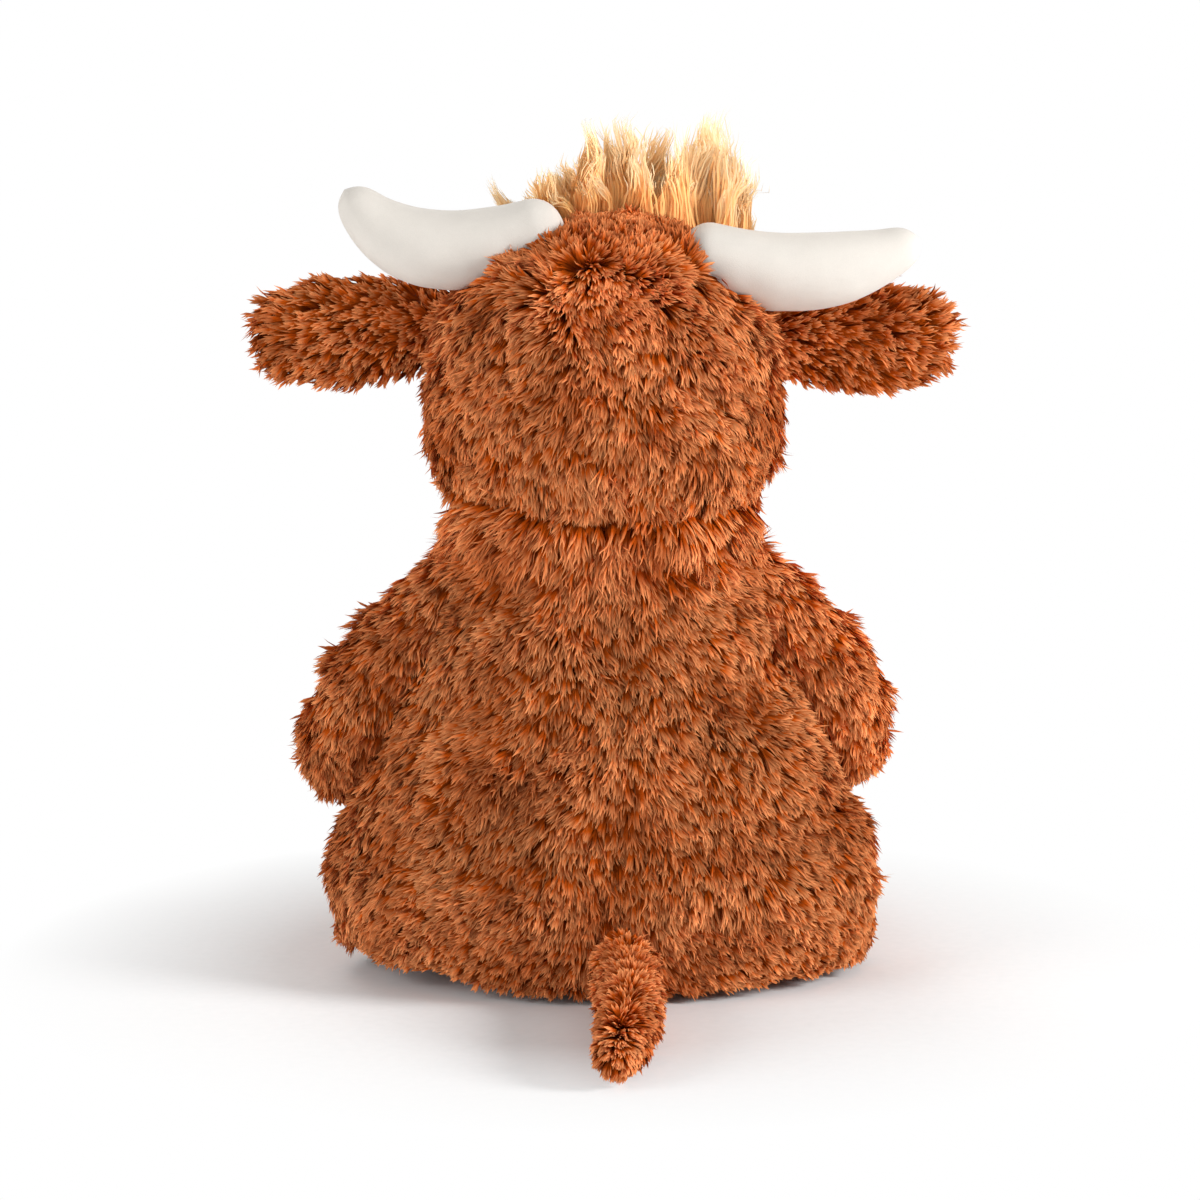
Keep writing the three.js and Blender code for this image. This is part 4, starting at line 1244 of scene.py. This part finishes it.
class COW_OT_ears(bpy.types.Operator):
    """Ears with a fan of long fur round a velvet lining"""

    bl_idname = "cow.ears"
    bl_label = "Ears"

    def execute(self, context):
        velvet = tan_velvet(context.scene.cow_trim)
        rows, lining_rows, around = 30, 24, 40
        root_reach, cloth_inset, thinness = (52.0, -16.0), 9.0, 0.36
        lining_inset, lining_half_depth, lining_forward = 11.5, 2.2, -4.6
        dense, tuft_size = 2100000.0, 0.0022
        # Painted light: both ears' pile paler, the right ear's most, on the side that the key light falls from
        painted_side_light = {"left": 1.13, "right": 1.34}
        for side, sign in SIDES:
            height, drop = EAR_PLACES[side]
            root = HEAD + (sign * root_reach[0], root_reach[1], height)
            reach = np.array((sign * EAR_LENGTH, 0.0, -drop))
            line = root + np.linspace(-0.02, 0.93, rows)[:, None] * reach
            sizes = sizes_along(EAR_SECTIONS, rows)
            sizes = columns(sizes[:, 1] * thinness, sizes[:, 0] - cloth_inset)
            form = loft(line, sizes, (0, 0, 1), around, start_depth=4.0, end_depth=9.0)
            cloth = add_mesh(f"ear_skin_{side}", *form, knit())
            places, normals = uneven(cloth, 16.0, 0.8, 12.0 + sign)
            along = (places - root) @ reach / (reach @ reach)
            lift = (places[:, 2] - root[2] + along * drop) / 20.0
            comb = columns(sign * (0.35 + 0.7 * along), 0.12 * normals[:, 1], 0.9 * lift - 0.12)
            lining_half = sizes_along(EAR_SECTIONS, lining_rows)[:, 0] - lining_inset
            half = np.interp(along, np.linspace(0.1, 0.9, lining_rows), lining_half, left=0.0, right=0.0)
            rim = soft(20.0 * np.abs(lift) - half, -0.6, 0.8)
            cover = np.maximum(soft(normals[:, 1], -0.75, -0.3), rim)
            cover *= soft(outside_head(places, 10.0), -6.0, -2.0)
            pile = 0.6 + 0.24 * soft(along, 0.4, 0.95) + 0.12 * soft(np.abs(lift), 0.5, 1.0)
            pile *= 0.5 + 0.5 * soft(normals[:, 1], -0.9, -0.4)
            dress(
                cloth, comb, pile, cover, shade=painted_side_light[side], wander_size=16.0, wander_share=0.45, seed=13.0 + sign
            )
            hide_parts(f"ear_back_{side}")
            changes = {"Ruffle": 0.2, "Point": 0.4, "Density": dense, "Tuft Size": tuft_size}
            fur = grow_fur(cloth, f"ear_pile_{side}", **changes)

            shares = np.linspace(0.12, 0.86, lining_rows)[:, None]
            inner = root + np.array((0.0, lining_forward, 0.0)) + shares * reach
            form = loft(inner, columns(lining_half_depth, lining_half), (0, 0, 1), around, 9.0, 9.0)
            lining = add_mesh(f"ear_lining_{side}_velvet", *form, velvet)
            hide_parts(f"ear_lining_{side}")
            for piece in (cloth, fur, lining):
                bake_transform(piece)
        return {"FINISHED"}


class COW_OT_muzzle(bpy.types.Operator):
    """Velvet muzzle with embroidered nostrils and mouth"""

    bl_idname = "cow.muzzle"
    bl_label = "Muzzle"

    def execute(self, context):
        trim = context.scene.cow_trim
        around, rings, sunk = 88, 50, 0.4
        crease_depth, crease_spread = 1.6, 10.0
        stitch_spacing, mouth_stitch, nostril_stitch = 0.00062, 0.0028, 0.0072
        mouth_steps, nostril_steps = 33, 21

        centre = HEAD + MUZZLE_OFFSET
        radii = (MUZZLE_HALF[0] - sunk, MUZZLE_HALF[2] - sunk, MUZZLE_HALF[1] - sunk)
        form = ball(centre, radii, (0, -1, 0), (0, 0, 1), around, rings)
        muzzle = add_mesh("muzzle", *form, tan_velvet(trim))
        places, _ = read(muzzle.data)
        side, back, up = (places - centre).T
        crease = crease_depth * np.exp(-(side**2) / crease_spread) * soft(-up, 0.0, 14.0) * soft(-back, 8.0, 22.0)
        shift(muzzle, lumps(places, 20.0, 0.6, 21.0) - crease)
        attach(muzzle, "head")
        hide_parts("muzzle_cover")

        def on_muzzle(side_angle, lift_angle, out):
            direction = out_of_face(side_angle, lift_angle)
            return (centre + direction / np.linalg.norm(direction / (MUZZLE_HALF + out))) * MM

        share = np.linspace(-1, 1, mouth_steps)
        places = [on_muzzle(34 * part, -34 + 18 * part * part, 0.1) for part in share]
        widths = np.ones(mouth_steps)
        mouth = sew("mouth_embroidery", places, widths, stitch_spacing, mouth_stitch, 3, trim)
        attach(mouth, "head")
        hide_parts("mouth_stitch")
        for name, sign in SIDES:
            share = np.linspace(-0.94, 0.94, nostril_steps)
            places = [on_muzzle(sign * (24 + 9.0 * part), 14 + 2.0 * part, 0.2) for part in share]
            widths = np.sqrt(1 - share**2)
            nostril = sew(f"nostril_{name}_embroidery", places, widths, stitch_spacing, nostril_stitch, 5, trim)
            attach(nostril, "head")
            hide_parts(f"nostril_{name}")
        return {"FINISHED"}


class COW_OT_eyes(bpy.types.Operator):
    """Polished plastic eyes on shanks, each held by a washer behind the cloth"""

    bl_idname = "cow.eyes"
    bl_label = "Eyes"

    def execute(self, context):
        plastic = material_named("polished_eye", eye_material, context.scene.cow_trim.eye_colour)
        washer = material_named("moulded_washer", washer_material)
        around, radius, dome, rim = 48, 7.0, 5.0, 1.0
        shank_radius, shank_end = 2.2, -10.6
        shank = [(shank_radius, shank_end), (shank_radius, -0.4), (2.6, 0.0)]
        profile = [*shank, (6.4, 0.0), (6.85, 0.3), (radius, 0.8)]
        profile += [(radius * math.cos(rise), rim + dome * math.sin(rise)) for rise in np.linspace(0.08, 1.5, 16)]
        angle = turns(around)
        for side, sign in SIDES:
            place, direction = eye_place(sign)
            across = unit(np.cross(direction, (0, 0, 1)))
            top = np.cross(across, direction)
            circle = np.cos(angle)[:, None] * across + np.sin(angle)[:, None] * top
            rings = [place + direction * height + radius * circle for radius, height in profile]
            form = closed(rings, place - direction * 10.7, place + direction * 6.0)
            eye = add_mesh(f"eye_{side}_plastic", *form, plastic)
            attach(eye, "head")
            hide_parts(f"eye_{side}")
            clothe(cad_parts[f"eye_washer_{side}"], washer)
        return {"FINISHED"}


def clothe(node, material):
    """Gives a piece of the frame its only material."""
    node.data.materials.clear()
    node.data.materials.append(material)


def add_hoof(name, start, direction, seam_radius, radius, length, trim):
    """A stuffed hoof, narrow at its seam, full in the middle and rounded at the end, with a cleft."""
    cleft_depth, cleft_spread, lowest = 5.0, 3.2, 2.2
    sections = (
        (0.0, seam_radius),
        (0.12, seam_radius * 1.03),
        (0.4, radius * 0.97),
        (0.75, radius),
        (1.0, radius * 0.93),
    )
    velvet = material_named("hoof_nap", velvet_material, "hoof_nap", trim.hoof_colour, 0.7)
    direction = unit(direction)
    line = start + np.linspace(0.0, length, 30)[:, None] * direction
    form = loft(line, sizes_along(sections, 30), (0, 0, 1), 64, 3.0, radius * 0.5, 10)
    hoof = add_mesh(name, *form, velvet)
    places, _ = read(hoof.data)
    side = unit(np.cross(direction, (0, 0, 1)))
    across = (places - start) @ side
    along = (places - start) @ direction
    cleft = cleft_depth * np.exp(-(across**2) / cleft_spread) * soft(along, length * 0.72, length + radius * 0.2)
    shift(hoof, lumps(places, 15.0, 0.6, 31.0) - cleft)
    places, _ = read(hoof.data)
    places[:, 2] = np.maximum(places[:, 2], lowest)
    hoof.data.vertices.foreach_set("co", (places * MM).ravel())
    hoof.data.update()
    return hoof


def narrowed(sizes, start, end_size):
    """Half sizes that draw in to the seam at a limb's end."""
    share = soft(np.linspace(0, 1, len(sizes)), start, 1.0)[:, None]
    return sizes * (1 - share) + end_size * share


class COW_OT_arms(bpy.types.Operator):
    """Arms: cloth, pile and velvet hooves, the hooves held on the arms' bodies"""

    bl_idname = "cow.arms"
    bl_label = "Arms"

    def execute(self, context):
        inset = context.scene.cow_fur.pile_inset / MM
        rows, around, wrist = 60, 56, 15.0
        seam_radius, hoof_radius, hoof_length, tucked = 14.6, 17.6, 23.0, 4.0
        # Painted light: the right arm's pile paler, on the side that the key light falls on
        painted_side_light = {"left": 1.0, "right": 1.22}
        for side, sign in SIDES:
            line = arm_line(side, sign, rows)
            sizes = narrowed(sizes_along(ARM_SECTIONS, rows, inset), 0.72, wrist)
            upright = unit(np.array((sign, 0.0, 1.0)))
            form = loft(line, sizes, upright, around, start_depth=4.0, end_depth=3.0)
            cloth = add_mesh(f"arm_skin_{side}", *form, knit())
            places, _ = uneven(cloth, 22.0, 1.4, 40.0 + sign)
            nearest = away_from(places, line).argmin(axis=1)
            tangent = unit(np.gradient(line, axis=0))[nearest]
            comb = tangent + (0.0, 0.0, -0.35)
            past_end = (places - line[-1]) @ tangent[-1]
            cover = soft(outside_body(places, inset), -9.0, -4.0) * soft(past_end, 2.0, 0.5)
            pile = 0.95 - 0.15 * soft(nearest / (rows - 1), 0.8, 1.0)
            dress(cloth, comb, pile, cover, shade=painted_side_light[side], wander_size=20.0, wander_share=0.5, seed=44.0 + sign)
            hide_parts(f"arm_cover_{side}")
            fur = grow_fur(cloth, f"arm_pile_{side}")
            for piece in (cloth, fur):
                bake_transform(piece)
            heading = unit(line[-1] - line[-4])
            place, trim = line[-1] - tucked * heading, context.scene.cow_trim
            hoof = add_hoof(f"arm_hoof_{side}_velvet", place, heading, seam_radius, hoof_radius, hoof_length, trim)
            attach(hoof, f"arm_{side}")
            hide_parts(f"arm_hoof_{side}")
        return {"FINISHED"}


class COW_OT_legs(bpy.types.Operator):
    """Legs: cloth, pile and velvet hooves, the hooves held on the legs' bodies"""

    bl_idname = "cow.legs"
    bl_label = "Legs"

    def execute(self, context):
        inset = context.scene.cow_fur.pile_inset / MM
        rows, around, ankle, length = 60, 64, 20.0, 100.0
        seam_radius, hoof_radius, hoof_length, tucked = 19.4, 23.0, 26.0, 5.0
        for side, sign in SIDES:
            line = leg_line(sign, rows)
            sizes = narrowed(sizes_along(LEG_SECTIONS, rows, inset), 0.74, ankle)
            form = loft(line, sizes, (0, 0, 1), around, start_depth=6.0, end_depth=4.0)
            cloth = add_mesh(f"leg_skin_{side}", *form, knit())
            places, normals = uneven(cloth, 26.0, 1.6, 50.0 + sign)
            share = np.clip((HIP[1] - places[:, 1]) / length, 0, 1)
            comb = columns(np.full(len(places), sign * 0.1), -1.0, -0.35)
            cover = soft(outside_body(places, inset), -9.0, -4.0)
            cover *= soft(places[:, 1], line[-1][1] - 3.0, line[-1][1] - 1.0)
            under = soft(-normals[:, 2], 0.6, 0.95)
            pile = (0.95 - 0.12 * soft(share, 0.8, 1.0)) * (1 - 0.35 * under)
            dress(cloth, comb, pile, cover, wander_size=22.0, wander_share=0.5, seed=54.0 + sign)
            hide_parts(f"leg_cover_{side}")
            fur = grow_fur(cloth, f"leg_pile_{side}", Density=1150000.0)
            for piece in (cloth, fur):
                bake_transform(piece)
            heading = unit((line[-1] - line[-4]) * (1, 1, 0))
            place, trim = line[-1] - tucked * heading, context.scene.cow_trim
            hoof = add_hoof(f"leg_hoof_{side}_velvet", place, heading, seam_radius, hoof_radius, hoof_length, trim)
            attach(hoof, f"leg_{side}")
            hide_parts(f"leg_hoof_{side}")
        return {"FINISHED"}


class COW_OT_tail(bpy.types.Operator):
    """Tail: cloth and pile with painted light, and a hollow at the tip where the pile is shorter and painted shade
    darkens it
    """

    bl_idname = "cow.tail"
    bl_label = "Tail"

    def execute(self, context):
        rows, around, cloth_depth, half_width = 50, 40, 6.8, 12.0
        line = tail_line(rows)
        sizes = sizes_along(TAIL_SECTIONS, rows, cloth_depth)
        form = loft(line, sizes, (0, 0, 1), around, start_depth=3.0, end_depth=11.0)
        cloth = add_mesh("tail_skin", *form, knit())
        places, _ = uneven(cloth, 16.0, 0.8, 60.0)
        hollow = line[-1] + (5.0, 6.0, -6.0)
        gap = np.linalg.norm(places - hollow, axis=1)
        in_hollow, dense = soft(-gap, -7.5, -2.5), soft(-gap, -22.0, -10.0)
        nearest = np.argmin(np.abs(places[:, 1:2] - line[:, 1]), axis=1)
        beside = (places[:, 0] - line[nearest, 0]) / half_width
        root = 1 - soft(places[:, 1], line[0, 1] + 6.0, line[18, 1])
        end = soft(places[:, 1], line[-1, 1] - 6.0, line[-1, 1] + 3.0)
        comb = columns(0.8 * beside, -0.1 - 0.8 * root, -0.8 - 1.4 * end)
        cover = (1 + 0.8 * dense) * soft(outside_body(places, 10.5), -6.0, -2.0)
        cover *= 1 + 0.4 * end
        pile = 0.56 + 0.14 * root - 0.08 * end - 0.2 * in_hollow
        # Painted light makes the tail's pile paler, and painted shade darkens it in the hollow at the tip
        dress(cloth, comb, pile, cover, shade=1.22 - 0.5 * in_hollow, wander_size=18.0, wander_share=0.5, seed=61.0)
        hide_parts("tail_cover")
        fur = grow_fur(cloth, "tail_pile", Density=2100000.0)
        start, end = (-0.008, 0.072, 0.018), (-0.008, 0.098, 0.014)
        for piece in (cloth, fur):
            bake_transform(piece)
        return {"FINISHED"}


class COW_OT_filling(bpy.types.Operator):
    """Stuffing and the pouch of weighting pellets, hidden inside the covers"""

    bl_idname = "cow.filling"
    bl_label = "Filling"

    def execute(self, context):
        fibre = material_named("stuffing_fibre", stuffing_material)
        pouch = material_named("pellet_pouch_cloth", pouch_material)
        for name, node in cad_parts.items():
            if name == "pellet_pouch":
                clothe(node, pouch)
            elif "filling" in name:
                clothe(node, fibre)
        return {"FINISHED"}


class COW_OT_stage(bpy.types.Operator):
    """White floor and surround, soft lights and the camera behind the cow"""

    bl_idname = "cow.stage"
    bl_label = "Stage"

    def execute(self, context):
        stage = context.scene.cow_stage
        self.add_floor()
        self.add_surround(stage)
        for name, place, size in LIGHTS:
            self.add_light(f"{name}_light", place, size, getattr(stage, f"{name}_power"))
        self.add_camera(stage)
        context.scene.view_settings.view_transform = "Standard"
        return {"FINISHED"}

    def add_floor(self):
        """A pale floor, which the camera sees as pure white beyond the toy's shadow."""
        white_start, white_end, half = 0.12, 0.23, 6
        material, tree, bsdf, place = new_material("white_floor", Roughness=0.9, Specular_IOR_Level=0.1)
        grain = tree.noise(place, 240.0, 3.0)
        stops = [(0.3, (0.93, 0.93, 0.93)), (0.7, (0.96, 0.96, 0.96))]
        tree.set(bsdf.inputs["Base Color"], tree.ramp(grain, stops))
        reach = tree.out("ShaderNodeVectorMath", "Value", {0: place}, operation="LENGTH")
        far = tree.add("ShaderNodeMapRange", {"Value": reach, "From Min": white_start, "From Max": white_end})
        white = tree.add("ShaderNodeEmission", {"Color": (1, 1, 1, 1), "Strength": 1.0})
        mixed = tree.add("ShaderNodeMixShader", {0: tree.times(far, tree.seen()), 1: bsdf, 2: white})
        tree.set(material.node_tree.nodes["Material Output"].inputs["Surface"], mixed)
        corners = [(-half, -half, 0), (half, -half, 0), (half, half, 0), (-half, half, 0)]
        floor = add_mesh("floor", corners, [(0, 1, 2, 3)], material, scale=1.0)

    def add_surround(self, stage):
        """Even light from all round, which the camera sees as pure white."""
        world = bpy.context.scene.world or bpy.data.worlds.new("surround")
        bpy.context.scene.world = world
        world.use_nodes = True
        tree = Tree(world.node_tree)
        world.node_tree.nodes.clear()
        even = tree.add("ShaderNodeBackground", {"Color": (1.0, 0.99, 0.975, 1), "Strength": stage.sky})
        white = tree.add("ShaderNodeBackground", {"Color": (1, 1, 1, 1), "Strength": 1.0})
        mixed = tree.add("ShaderNodeMixShader", {0: tree.seen(), 1: even, 2: white})
        tree.add("ShaderNodeOutputWorld", {"Surface": mixed})

    def add_light(self, name, place, size, power):
        data = bpy.data.lights.new(name, "AREA")
        data.shape = "DISK"
        data.size = size
        data.energy = power
        light = bpy.data.objects.new(name, data)
        light.location = place
        light.rotation_euler = (LOOK_AT - Vector(place)).to_track_quat("-Z", "Y").to_euler()
        bpy.context.scene.collection.objects.link(light)

    def add_camera(self, stage):
        drop, aside, sensor = 0.0219, 0.0015, 36.0
        rise = stage.camera_height
        back = Vector((0, math.cos(rise), math.sin(rise)))
        up = Vector((0, -math.sin(rise), math.cos(rise)))
        data = bpy.data.cameras.new("camera")
        data.sensor_width = sensor
        data.lens = sensor * stage.camera_distance / stage.frame_width
        data.clip_start = 0.05
        camera = bpy.data.objects.new("camera", data)
        camera.location = LOOK_AT + back * stage.camera_distance - up * drop + Vector((aside, 0, 0))
        camera.rotation_euler = (-back).to_track_quat("-Z", "Y").to_euler()
        bpy.context.scene.collection.objects.link(camera)
        bpy.context.scene.camera = camera


SETTINGS = (
    ("cow_fur", FurSettings),
    ("cow_hair", HairSettings),
    ("cow_trim", TrimSettings),
    ("cow_stage", StageSettings),
)
OPERATORS = (
    COW_OT_body,
    COW_OT_head,
    COW_OT_topknot,
    COW_OT_horns,
    COW_OT_ears,
    COW_OT_muzzle,
    COW_OT_eyes,
    COW_OT_arms,
    COW_OT_legs,
    COW_OT_tail,
    COW_OT_filling,
    COW_OT_stage,
)


class COW_PT_panel(bpy.types.Panel):
    """Settings and steps of the plush cow"""

    bl_idname = "COW_PT_panel"
    bl_label = "Plush cow"
    bl_space_type = "VIEW_3D"
    bl_region_type = "UI"
    bl_category = "Plush cow"

    def draw(self, context):
        for name, group in SETTINGS:
            box = self.layout.box()
            for key in group.__annotations__:
                box.prop(getattr(context.scene, name), key)
        for operator in OPERATORS:
            self.layout.operator(operator.bl_idname)


def register():
    for name, group in SETTINGS:
        bpy.utils.register_class(group)
        setattr(bpy.types.Scene, name, PointerProperty(type=group))
    for made in (*OPERATORS, COW_PT_panel):
        bpy.utils.register_class(made)


def unregister():
    for made in (COW_PT_panel, *reversed(OPERATORS)):
        bpy.utils.unregister_class(made)
    for name, group in reversed(SETTINGS):
        delattr(bpy.types.Scene, name)
        bpy.utils.unregister_class(group)


def main():
    register()
    for operator in OPERATORS:
        step = operator.bl_idname.split(".")[1]
        getattr(bpy.ops.cow, step)()


if __name__ == "__main__":
    main()
